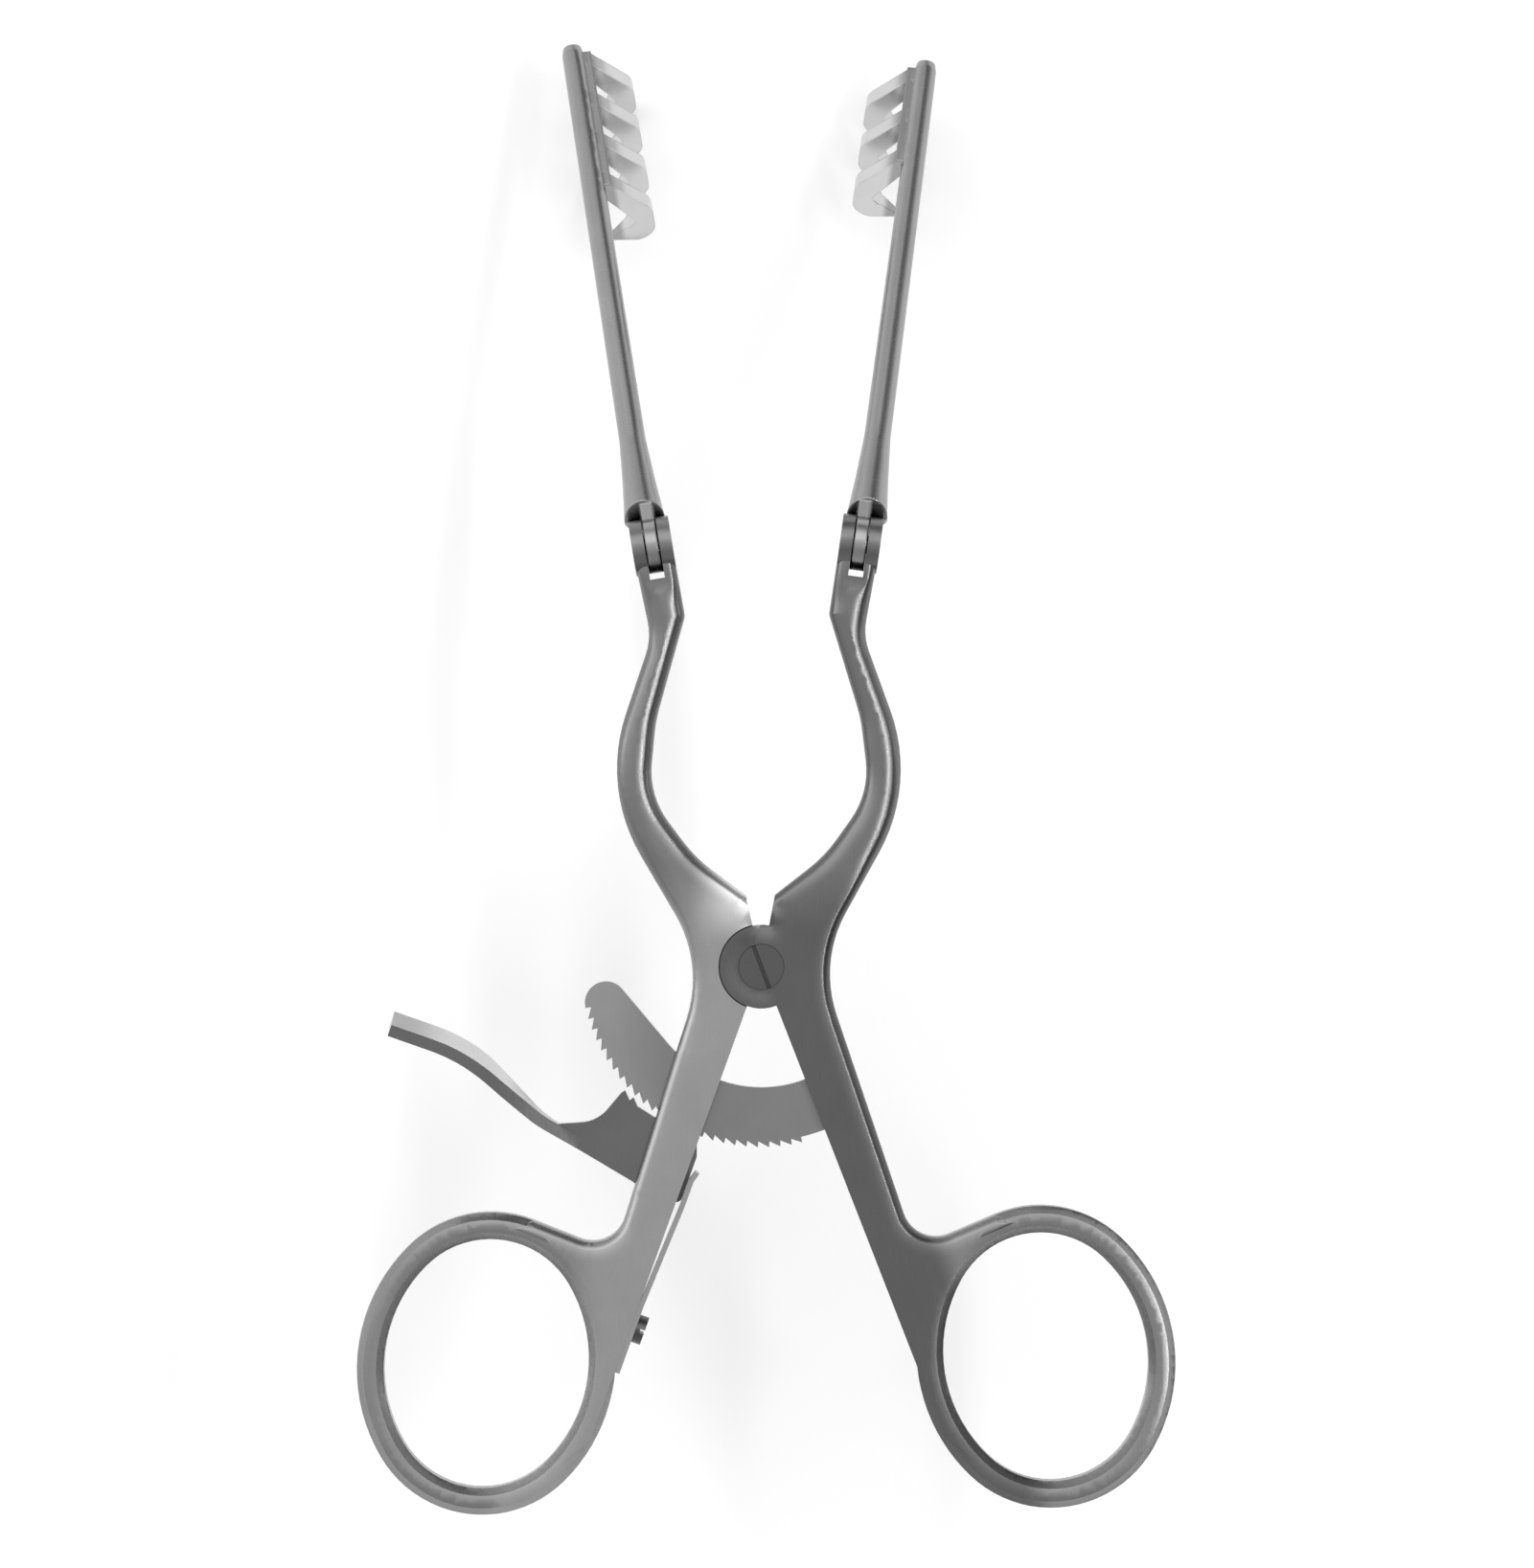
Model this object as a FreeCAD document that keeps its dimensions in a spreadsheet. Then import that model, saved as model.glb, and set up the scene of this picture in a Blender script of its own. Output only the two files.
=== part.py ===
import FreeCAD, Part
import math
import os
import Sketcher
from FreeCAD import Placement, Rotation, Vector

# Self retaining retractor with ring handles and two hinged, pronged blades.
#
# Frame: the handles lie flat. +Z points out of the front face, +Y from the rings to the blades
# and +X to the right arm. The pivot's axis is x = y = 0 and the flat back of the joint is z = 0.
# The pose is the one in which the retractor lies ready: blades folded a little towards the back.
# Angles are in degrees, counted from +X, and lengths in millimetres.

SIZES = [
    # Arms: one plate each, joined by a lap joint
    ("arm_thickness", 4.2, "thickness of both arms and of the closed lap joint"),
    ("shank_lean", 20.6, "lean of each shank's straight inner edge from the middle"),
    ("crotch_above_ring", 15.8, "crotch of shank and ring above the ring's middle, along the shank"),
    ("crotch_out", 4.43, "corner of shank and ring, outside the shank's inner edge"),
    ("crotch_radius", 3.6, "radius of that crotch"),
    ("waist_x", 6.15, "corner of the waist beside the pivot"),
    ("waist_y", 0.45, "its height"),
    ("waist_radius", 13.6, "hollow of the waist"),
    ("bow_x", 16.9, "corner of the bow's outer edge"),
    ("bow_y", 19.3, "its height"),
    ("bow_radius", 18.4, "radius of the bow's outer edge"),
    ("bow_inner_x", 11.8, "corner of the bow's inner edge"),
    ("bow_inner_y", 18.4, "its height"),
    ("bow_inner_radius", 9.0, "radius of the bow's inner edge"),
    ("bow_hollow_x", 6.9, "lower corner of the bow's inner edge"),
    ("bow_hollow_y", 11.7, "its height"),
    ("bow_rise_x", 10.95, "upper corner of the bow's inner edge"),
    ("bow_rise_y", 26.4, "its height"),
    ("bow_slow_radius", 15.0, "radius at the two slow corners of the inner edge"),
    ("shoulder_angle", 78.5, "the shoulder that would stop the joint, from +X"),
    ("shoulder_radius", 7.8, "end of that shoulder from the pivot"),
    ("neck_out", 0.25, "corner of the neck's outer edge, outside the hinge"),
    ("neck_drop", 9.9, "that corner below the hinge"),
    ("neck_radius", 6.5, "hollow of the neck"),
    ("elbow_in", 3.4, "corner of the elbow's inner edge, inside the hinge"),
    ("elbow_drop", 7.55, "that corner below the hinge"),
    ("elbow_radius", 1.2, "radius of the elbow"),
    ("outer_rounding", 0.9, "rounding of the arms' outer edges"),
    ("bow_rounding", 0.9, "rounding of the bow's inner edges"),
    # Finger rings
    ("ring_along", 49.88, "middle of the finger ring below the pivot, along the shank"),
    ("ring_out", 13.19, "the ring's middle outside the shank's inner edge"),
    ("ring_half_width", 12.35, "half width of the ring's centre line"),
    ("ring_half_height", 14.75, "half height of the ring's centre line"),
    ("ring_end_radius", 11.1, "radius of the centre line at the ring's two ends"),
    ("ring_tilt", 8.0, "the ring's lower end leans outwards"),
    ("ring_band", 2.85, "width of the ring's section in the plane of the handles"),
    ("ring_depth", 3.9, "depth of the ring's section along Z"),
    ("ring_bevel", 0.75, "bevel at that section's corners"),
    ("web_lean", 22.2, "fall of the web's upper edge from the ring to the crotch"),
    ("web_start", 88.0, "the flat web starts inside the ring's band here, from the ring's +X"),
    ("foot_below_ring", 3.9, "the shank's inner edge ends this far below the ring's middle"),
    # Lap joint
    ("lap_radius", 4.45, "radius of the joint's two half thickness discs"),
    ("lap_clearance", 0.12, "radial clearance round each disc"),
    ("lap_gap", 0.04, "running gap between the two discs"),
    ("screw_radius", 1.5, "radius of the pivot screw's body"),
    ("screw_head_radius", 2.4, "radius of its head"),
    ("screw_head_seat", 1.0, "depth of the head's seat"),
    ("screw_head_proud", 0.2, "the head stands this much proud of the face"),
    ("screw_slot_width", 0.45, "width of the slots in both screws"),
    ("screw_slot_depth", 0.5, "depth of those slots"),
    ("screw_slot_turn", 20.0, "turn of the pivot screw's slot from +Y"),
    ("pin_clearance", 0.04, "radial running clearance of pins and screw"),
    # Blade hinges
    ("hinge_x", 11.1, "middle of the blade's hinge from the middle"),
    ("hinge_y", 45.1, "height of the hinge above the pivot"),
    ("hinge_lean", 8.5, "lean of the blade from +Y"),
    ("knuckle_radius", 3.0, "radius of the fork's round end"),
    ("knuckle_width", 4.3, "width of the fork over both ears"),
    ("tongue_width", 1.3, "width of the blade's tongue"),
    ("tongue_clearance", 0.16, "clearance on each side of the tongue"),
    ("fork_depth", 3.6, "bottom of the fork's slot behind the pin"),
    ("hinge_pin_radius", 0.9, "radius of the hinge pins"),
    ("rest_fold", 28.0, "fold of the blades as the retractor lies ready"),
    # Blades
    ("left_blade_length", 65.6, "left blade from pin to end"),
    ("tongue_inset", 0.1, "the tongue's round end is this much smaller than the fork's"),
    ("blade_shoulder", 3.4, "start of the blade's full width beyond the pin"),
    ("shoulder_radius_of_bar", 2.2, "radius of the blade at its shoulder"),
    ("shoulder_cut_back", 1.2, "the shoulder's slanted end cuts back this far along the blade"),
    ("waist_along", 8.0, "middle of the taper behind the shoulder"),
    ("waist_radius_of_bar", 1.8, "radius of the blade there"),
    ("bar_start", 13.5, "end of that taper"),
    ("bar_offset", 0.38, "the bar's axis runs this much outside the pin's middle"),
    ("bar_radius", 1.44, "radius of the blade's round bar"),
    ("bar_end_share", 0.86, "section of the bar's end as a share of its start"),
    ("bar_dome", 0.9, "length of the bar's domed end"),
    ("prong_pitch", 5.5, "spacing of the prongs"),
    ("prong_width", 1.75, "width of each prong"),
    ("prong_end_gap", 0.95, "first prong's side short of the blade's end"),
    ("prong_top", 0.65, "top of the prong's root above the pin's middle"),
    ("prong_bend", 1.25, "the prong's outer face bends down here, inside the pin's middle"),
    ("prong_slope", 54.8, "slope of the prong's leg"),
    ("prong_reach", 5.7, "furthest reach of a prong"),
    ("prong_root_out", 0.2, "the prong's root ends this far outside the pin's middle, in the bar"),
    ("prong_root_low", 0.43, "lower side of that root below the pin's middle"),
    ("prong_heel_radius", 2.4, "outer radius of the hook's corner"),
    ("prong_bend_radius", 3.0, "outer radius between the leg and the hook"),
    ("prong_depth", 11.1, "depth of the hook"),
    ("prong_return", 0.6, "the hook's point comes back to here, inside the pin's middle"),
    ("prong_inner_radius", 0.7, "inner radius of the hook's corner"),
    ("prong_hook_depth", 7.5, "depth of that inner corner"),
    ("prong_hook_reach", 3.7, "reach of that inner corner"),
    ("prong_point", 0.5, "thickness of the prong's point"),
    ("prong_point_width", 0.7, "width of the prong's point"),
    ("prong_taper_depth", 8.6, "the hook narrows to its point below this depth"),
    ("prong_taper_reach", 3.5, "the hook starts to narrow here, inside the pin's middle"),
    ("web_width", 1.65, "the strip beside the bar that carries the prongs, inside the pin's middle"),
    ("web_top", 0.6, "its upper edge above the pin's middle"),
    ("web_depth", 1.2, "its lower edge below the pin's middle"),
    ("left_prongs", 4, "prongs of the left blade"),
    ("right_prongs", 3, "prongs of the right blade"),
    # Rack
    ("rack_tip_radius", 19.3, "tips of the rack's teeth from the pivot"),
    ("rack_width", 6.35, "width of the rack over its teeth"),
    ("rack_tooth_depth", 0.6, "depth of the teeth"),
    ("rack_pitch", 3.6, "angle from tooth to tooth"),
    ("rack_teeth", 26, "number of teeth"),
    ("rack_steep_lean", 0.35, "angle that the steep face of a tooth takes"),
    ("rack_first_tip", -167.6, "the tooth next to the free end"),
    ("rack_root_end", -56.5, "the rack's end inside the right shank"),
    ("rack_end_radius", 2.25, "rounding of the free end"),
    ("rack_thickness", 1.6, "thickness of the rack and of the lever's plate"),
    ("slot_clearance", 0.08, "clearance above and below rack and lever in the left slot"),
    ("rivet_radius", 1.0, "radius of the rack's rivet"),
    ("rivet_inside", 3.0, "the rivet inside the teeth's tips"),
    ("rivet_angle", -60.5, "its direction"),
    ("rack_seat_margin", 6.0, "the rack's seat in the right shank is open by this angle"),
    ("slot_above_rack", 2.05, "the left shank's slot starts this much above the rack"),
    ("slot_below_pin", 5.0, "it ends this much below the lever's pin"),
    # Release lever
    ("lever_pin_beyond", 3.19, "the lever's pin below the rack's tips, along the shank"),
    ("lever_pin_out", 2.13, "the pin outside the shank's inner edge"),
    ("lever_pin_radius", 0.8, "radius of the lever's pin"),
    ("pawl_first_gap", 8, "the pawl's first tooth sits in this gap of the rack"),
    ("pawl_teeth", 2, "teeth of the pawl"),
    ("pawl_clearance", 0.09, "clearance of the seated pawl over the rack"),
    ("pawl_back_angle", 0.5, "angle by which its steep faces stand off"),
    ("pawl_lift", 5.5, "turn of the lever from seated to just clear"),
    ("lever_reach", 30.0, "thumb end of the lever beside its pin"),
    ("lever_rise", 13.95, "thumb end of the lever above its pin"),
    ("thumb_slope", 20.0, "fall of the thumb plate"),
    ("thumb_length", 8.55, "length of the thumb plate to its bend"),
    ("stem_slope", 43.8, "fall of the strip between its bends"),
    ("stem_length", 10.55, "length of that stretch"),
    ("plate_slope", 31.4, "fall of the lever plate's lower edge"),
    ("strip_thickness", 1.25, "thickness of the thumb strip"),
    ("strip_width", 5.0, "width of the thumb strip along Z"),
    ("strip_end", 5.0, "the strip runs this far onto the plate"),
    ("strip_taper", 9.0, "the strip narrows to the plate over this length"),
    ("thumb_bend_radius", 18.0, "radius of the strip's upper bend"),
    ("knee_radius", 12.0, "radius of its lower bend"),
    ("plate_start", 2.0, "the plate starts this far beyond the knee"),
    ("plate_edge", 12.0, "straight lower edge of the lever's plate"),
    ("plate_low_across", 1.3, "lowest corner of the plate beside the pin"),
    ("plate_low_down", 4.83, "that corner below the pin"),
    ("plate_hollow_across", 6.5, "hollow of the plate's upper edge beyond the knee"),
    ("plate_hollow_up", 0.2, "that hollow above the knee"),
    ("plate_hollow_radius", 4.0, "radius of that hollow"),
    ("plate_front_angle", -126.0, "end of the plate's edge that follows the rack"),
    ("nose_across", 0.2, "upper corner of the plate beside the pin"),
    ("nose_up", 3.1, "that corner above the pin"),
    ("nose_radius", 1.0, "radius of that corner"),
    ("tail_root_gap", 0.2, "the plate passes the rack's tips by this much at the shank's edge"),
    ("tail_root_out", 0.3, "that corner outside the shank's inner edge"),
    ("tail_proud", 0.45, "the tail stands this much out of the shank's inner edge"),
    ("tail_above_pin", 1.0, "the tail starts this much above the pin"),
    ("tail_below_pin", 4.1, "the tail ends this much below the pin"),
    ("tail_radius", 0.6, "rounding of the tail's corners"),
    # Leaf spring and its screw
    ("spring_thickness", 0.55, "thickness of the leaf spring"),
    ("spring_width", 3.0, "width of the leaf spring along Z"),
    ("spring_top_below_pin", 0.5, "upper end of the spring below the lever's pin"),
    ("spring_lip", 0.3, "the spring's upper end is turned out by this much"),
    ("spring_lip_length", 1.0, "length of that lip"),
    ("spring_flat", 4.0, "length of spring that lies along the tail"),
    ("spring_bend_above_ring", 11.6, "the spring leaves the shank here, above the ring's middle"),
    ("spring_foot_above_ring", 3.9, "lower end of the spring above the ring's middle"),
    ("spring_touch_gap", 0.03, "gap between spring and tail as drawn"),
    ("spring_screw_above_ring", 8.9, "the spring's screw above the ring's middle"),
    ("spring_screw_radius", 0.8, "radius of its body"),
    ("spring_screw_head_radius", 1.55, "radius of its head"),
    ("spring_screw_head", 1.0, "height of its head"),
    ("spring_screw_depth", 3.2, "length of its body in the shank"),
    # Working lengths of the model
    ("overlap", 0.1, "joined shapes reach this far into each other"),
    ("overcut", 1.0, "cuts run this far past the material"),
]

doc = FreeCAD.newDocument("retractor")
sheet = doc.addObject("Spreadsheet::Sheet", "Sizes")
for row, (alias, number, meaning) in enumerate(SIZES, start=1):
    sheet.set(f"A{row}", alias)
    sheet.set(f"B{row}", str(number))
    sheet.set(f"C{row}", meaning)
    sheet.setAlias(f"B{row}", alias)
doc.recompute()


class Size:
    """A length or angle: its number now, and the expression of sheet cells that gives it."""

    def __init__(self, number, text):
        self.number = number
        self.text = text

    def _join(self, other, sign, number):
        return Size(number, f"({self.text} {sign} {as_size(other).text})")

    def __add__(self, other):
        return self._join(other, "+", self.number + float(other))

    def __sub__(self, other):
        return self._join(other, "-", self.number - float(other))

    def __mul__(self, other):
        return self._join(other, "*", self.number * float(other))

    def __truediv__(self, other):
        return self._join(other, "/", self.number / float(other))

    def __radd__(self, other):
        return as_size(other) + self

    def __rsub__(self, other):
        return as_size(other) - self

    def __rmul__(self, other):
        return as_size(other) * self

    def __neg__(self):
        return self * -1

    def __float__(self):
        return float(self.number)


def as_size(value):
    return value if isinstance(value, Size) else Size(float(value), f"({value})")


def cell(alias):
    return Size(float(sheet.get(alias)), f"Sizes.{alias}")


def cosine(angle):
    return Size(math.cos(math.radians(float(angle))), f"cos({as_size(angle).text})")


def sine(angle):
    return Size(math.sin(math.radians(float(angle))), f"sin({as_size(angle).text})")


def polar(radius, angle):
    return radius * cosine(angle), radius * sine(angle)


def turned(point, centre, angle):
    """The point after a turn about the centre, in the plane of the handles."""
    across = point[0] - centre[0]
    along = point[1] - centre[1]
    return (centre[0] + across * cosine(angle) - along * sine(angle),
            centre[1] + across * sine(angle) + along * cosine(angle))


def new_body(label):
    body = doc.addObject("PartDesign::Body", label)
    body.Label = label
    return body


def origin_feature(body, role):
    for feature in body.Origin.OriginFeatures:
        if feature.Role == role:
            return feature


def bind(item, path, value):
    item.setExpression(path, as_size(value).text)


def attach(item, body, role, base, rotation):
    """Fix a sketch or a primitive to an origin plane of its body, moved and turned from there."""
    item.AttachmentSupport = [(origin_feature(body, role), "")]
    item.MapMode = "FlatFace"
    item.AttachmentOffset = Placement(Vector(*[float(value) for value in base]), rotation)
    for axis, value in zip("xyz", base):
        bind(item, f"AttachmentOffset.Base.{axis}", value)


def new_sketch(body, name, role="XY_Plane", base=(0, 0, 0), rotation=Rotation()):
    sketch = body.newObject("Sketcher::SketchObject", name)
    attach(sketch, body, role, base, rotation)
    return sketch


def constrain(sketch, value, kind, *places):
    """Add a dimension that follows the sheet."""
    index = sketch.addConstraint(Sketcher.Constraint(kind, *places, float(value)))
    bind(sketch, f"Constraints[{index}]", value)


def fix_point(sketch, curve, end, point):
    constrain(sketch, point[0], "DistanceX", -1, 1, curve, end)
    constrain(sketch, point[1], "DistanceY", -1, 1, curve, end)


def draw_circle(sketch, centre, radius):
    middle = Vector(float(centre[0]), float(centre[1]), 0)
    curve = sketch.addGeometry(Part.Circle(middle, Vector(0, 0, 1), float(radius)))
    fix_point(sketch, curve, 3, centre)
    constrain(sketch, radius, "Radius", curve)


def draw_ellipse(sketch, centre, half_major, half_minor, angle):
    """An ellipse held by its centre, one end of its long axis and its short axis."""
    far = (centre[0] + half_major * cosine(angle), centre[1] + half_major * sine(angle))
    side = (centre[0] - half_minor * sine(angle), centre[1] + half_minor * cosine(angle))
    points = [Vector(float(p[0]), float(p[1]), 0) for p in (far, side, centre)]
    curve = sketch.addGeometry(Part.Ellipse(*points))
    sketch.exposeInternalGeometry(curve)
    long_axis = sketch.Geometry[curve + 1]
    end = 1 if (long_axis.StartPoint - points[0]).Length < (long_axis.EndPoint - points[0]).Length else 2
    fix_point(sketch, curve, 3, centre)
    fix_point(sketch, curve + 1, end, far)
    constrain(sketch, half_minor * 2, "Distance", curve + 2)


def draw_outline(sketch, corners):
    """A closed outline of straight lines. Each corner is (x, y) or (x, y, radius of its rounding)."""
    count = len(corners)
    points = [Vector(float(c[0]), float(c[1]), 0) for c in corners]
    entries = []
    exits = []
    arcs = {}
    for index, corner in enumerate(corners):
        here = points[index]
        back = (points[index - 1] - here).normalize()
        ahead = (points[(index + 1) % count] - here).normalize()
        if len(corner) == 2:
            entries.append(here)
            exits.append(here)
            continue
        half_turn = back.getAngle(ahead) / 2
        reach = float(corner[2]) / math.tan(half_turn)
        entries.append(here + back * reach)
        exits.append(here + ahead * reach)
        middle = here + (back + ahead).normalize() * (float(corner[2]) / math.sin(half_turn))
        arcs[index] = (middle, back.cross(ahead).z > 0)
    lines = [
        sketch.addGeometry(Part.LineSegment(exits[index], entries[(index + 1) % count]))
        for index in range(count)
    ]
    for index, corner in enumerate(corners):
        before = lines[index - 1]
        after = lines[index]
        if index not in arcs:
            sketch.addConstraint(Sketcher.Constraint("Coincident", before, 2, after, 1))
            fix_point(sketch, after, 1, corner)
            continue
        middle, clockwise = arcs[index]
        circle = Part.Circle(middle, Vector(0, 0, 1), float(corner[2]))
        ends = [math.atan2(p.y - middle.y, p.x - middle.x) for p in (entries[index], exits[index])]
        if clockwise:
            ends.reverse()
        arc = sketch.addGeometry(Part.ArcOfCircle(circle, ends[0], ends[1]))
        mark = sketch.addGeometry(Part.Point(points[index]), True)
        first, last = (2, 1) if clockwise else (1, 2)
        sketch.addConstraint(Sketcher.Constraint("Tangent", before, 2, arc, first))
        sketch.addConstraint(Sketcher.Constraint("Tangent", arc, last, after, 1))
        sketch.addConstraint(Sketcher.Constraint("PointOnObject", mark, 1, before))
        sketch.addConstraint(Sketcher.Constraint("PointOnObject", mark, 1, after))
        constrain(sketch, corner[2], "Radius", arc)
        fix_point(sketch, mark, 1, corner)


def pad(body, sketch, height, name):
    """Material from the sketch's plane along its normal."""
    feature = body.newObject("PartDesign::Pad", name)
    feature.Profile = sketch
    feature.Length = float(height)
    bind(feature, "Length", height)
    doc.recompute()
    return feature


def pocket(body, sketch, depth, name):
    """A cut from the sketch's plane along its normal."""
    before = body.Shape.Volume
    feature = body.newObject("PartDesign::Pocket", name)
    feature.Profile = sketch
    feature.Reversed = True
    feature.Length = float(depth)
    bind(feature, "Length", depth)
    doc.recompute()
    if body.Shape.Volume >= before:
        raise RuntimeError(f"{name} cuts nothing")
    return feature


def primitive(body, kind, name, base, rotation, lengths):
    """A cylinder or box of the body, placed from its own origin."""
    before = body.Shape.Volume if body.Tip else 0
    feature = body.newObject(f"PartDesign::{kind}", name)
    for path, value in lengths.items():
        setattr(feature, path, float(value))
        bind(feature, path, value)
    attach(feature, body, "XY_Plane", base, rotation)
    doc.recompute()
    if kind.startswith("Subtractive") and body.Shape.Volume >= before:
        raise RuntimeError(f"{name} cuts nothing")
    return feature


def round_edges(body, base, chain, radius, name):
    """Round the edges of a plate's two faces that run along a chain of its corners."""
    levels = (0, float(cell("arm_thickness")))
    names = []
    for number, edge in enumerate(base.Shape.Edges, start=1):
        ends = [vertex.Point for vertex in edge.Vertexes]
        middle = edge.valueAt((edge.FirstParameter + edge.LastParameter) / 2)
        flat = any(all(abs(point.z - level) < 1e-6 for point in ends + [middle]) for level in levels)
        if flat and distance_to_chain(middle, chain) < 0.45 * float(cell("arm_thickness")):
            names.append(f"Edge{number}")
    feature = body.newObject("PartDesign::Fillet", name)
    feature.Base = (base, names)
    feature.Radius = float(radius)
    bind(feature, "Radius", radius)
    doc.recompute()
    return feature


def distance_to_chain(point, chain):
    nearest = 1e9
    for start, end in zip(chain, chain[1:]):
        line = end - start
        share = max(0.0, min(1.0, (point - start).dot(line) / line.dot(line)))
        foot = start + line * share
        nearest = min(nearest, math.hypot(point.x - foot.x, point.y - foot.y))
    return nearest


# Places that several pieces share

thickness = cell("arm_thickness")
mid_height = thickness / 2
lap_gap = cell("lap_gap")
knuckle_width = cell("knuckle_width")
hinge_lean = cell("hinge_lean")
pin_clearance = cell("pin_clearance")
overlap = cell("overlap")
overcut = cell("overcut")
zero = as_size(0)
rack_inner_radius = cell("rack_tip_radius") - cell("rack_width")
rivet_centre = polar(cell("rack_tip_radius") - cell("rivet_inside"), cell("rivet_angle"))
rack_thickness = cell("rack_thickness")
rack_bottom = mid_height - rack_thickness / 2
root_radius = cell("rack_tip_radius") - cell("rack_tooth_depth")
flat_turn = Rotation()
along_x = Rotation(Vector(0, 0, 1), Vector(1, 0, 0))


def side_x(side, x):
    return x if side > 0 else -x


def hinge_point(side, across, along):
    """A point of the hinge's own grid: across the fork, outwards, and along the blade."""
    x = cell("hinge_x") + across * cosine(hinge_lean) + along * sine(hinge_lean)
    y = cell("hinge_y") - across * sine(hinge_lean) + along * cosine(hinge_lean)
    return side_x(side, x), y


def hinge_turn(side):
    return Rotation(Vector(0, 0, 1), -side * float(hinge_lean))


def hinge_axis_turn(side):
    return hinge_turn(side) * along_x


def shank_point(side, outwards, along):
    """A point of the shank's own grid: outwards from its inner edge, and down along it."""
    lean = cell("shank_lean")
    x = outwards * cosine(lean) + along * sine(lean)
    y = outwards * sine(lean) - along * cosine(lean)
    return side_x(side, x), y


def shank_turn(side):
    return Rotation(Vector(0, 0, 1), side * float(cell("shank_lean")))


def ring_place(side, across, up):
    """A point of the finger ring's own grid, from its middle: across and along its long axis."""
    tilt = cell("ring_tilt")
    middle = shank_point(1, cell("ring_out"), cell("ring_along"))
    x = middle[0] + across * cosine(tilt) - up * sine(tilt)
    y = middle[1] + across * sine(tilt) + up * cosine(tilt)
    return side_x(side, x), y


def on_ring(side, angle):
    """A point inside the ring's band; 90 is its top and 180 its inner side."""
    return ring_place(side, cell("ring_half_width") * cosine(angle), cell("ring_half_height") * sine(angle))


def arm_corners(side):
    """The plate of an arm seen from the front, from the ring's top up the outer edge and back."""
    end_radius = cell("ring_end_radius")
    leave = polar(end_radius + cell("ring_band") / 2, 90 + cell("web_lean") - cell("ring_tilt"))
    web_top = ring_place(side, leave[0], leave[1] + cell("ring_half_height") - end_radius)
    crotch = shank_point(side, cell("crotch_out"), cell("ring_along") - cell("crotch_above_ring"))
    outer = [
        (cell("waist_x"), cell("waist_y"), cell("waist_radius")),
        (cell("bow_x"), cell("bow_y"), cell("bow_radius")),
        (cell("hinge_x") + cell("neck_out"), cell("hinge_y") - cell("neck_drop"), cell("neck_radius")),
    ]
    inner = [
        (cell("hinge_x") - cell("elbow_in"), cell("hinge_y") - cell("elbow_drop"), cell("elbow_radius")),
        (cell("bow_rise_x"), cell("bow_rise_y"), cell("bow_slow_radius")),
        (cell("bow_inner_x"), cell("bow_inner_y"), cell("bow_inner_radius")),
        (cell("bow_hollow_x"), cell("bow_hollow_y"), cell("bow_slow_radius")),
        polar(cell("shoulder_radius"), cell("shoulder_angle")),
    ]
    outer = [(side_x(side, corner[0]), *corner[1:]) for corner in outer]
    inner = [(side_x(side, corner[0]), *corner[1:]) for corner in inner]
    outer = [on_ring(side, cell("web_start")), web_top, (*crotch, cell("crotch_radius")), *outer]
    outer.append(hinge_point(side, knuckle_width / 2, zero))
    inner.insert(0, hinge_point(side, -knuckle_width / 2, zero))
    foot = shank_point(side, zero, cell("ring_along") + cell("foot_below_ring"))
    inside_band = [on_ring(side, as_size(angle)) for angle in (218, 190, 165, 140, 118)]
    return outer, inner, [(zero, zero), foot, *inside_band]


def make_arm(label, side):
    """Forged arm: plate, finger ring, half of the lap joint and the fork for the blade."""
    body = new_body(label)
    outer, inner, rest = arm_corners(side)
    plan = new_sketch(body, f"{label}_plan")
    draw_outline(plan, outer + inner + rest)
    plate = pad(body, plan, thickness, f"{label}_plate")

    outer_chain = [Vector(float(c[0]), float(c[1]), 0) for c in outer]
    inner_chain = [Vector(float(c[0]), float(c[1]), 0) for c in inner]
    base = round_edges(body, plate, outer_chain, cell("outer_rounding"), f"{label}_outer_edges")
    round_edges(body, base, inner_chain, cell("bow_rounding"), f"{label}_inner_edges")

    make_ring(body, label, side)
    make_lap(body, label, side)
    make_fork(body, label, side)
    return body


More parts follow.
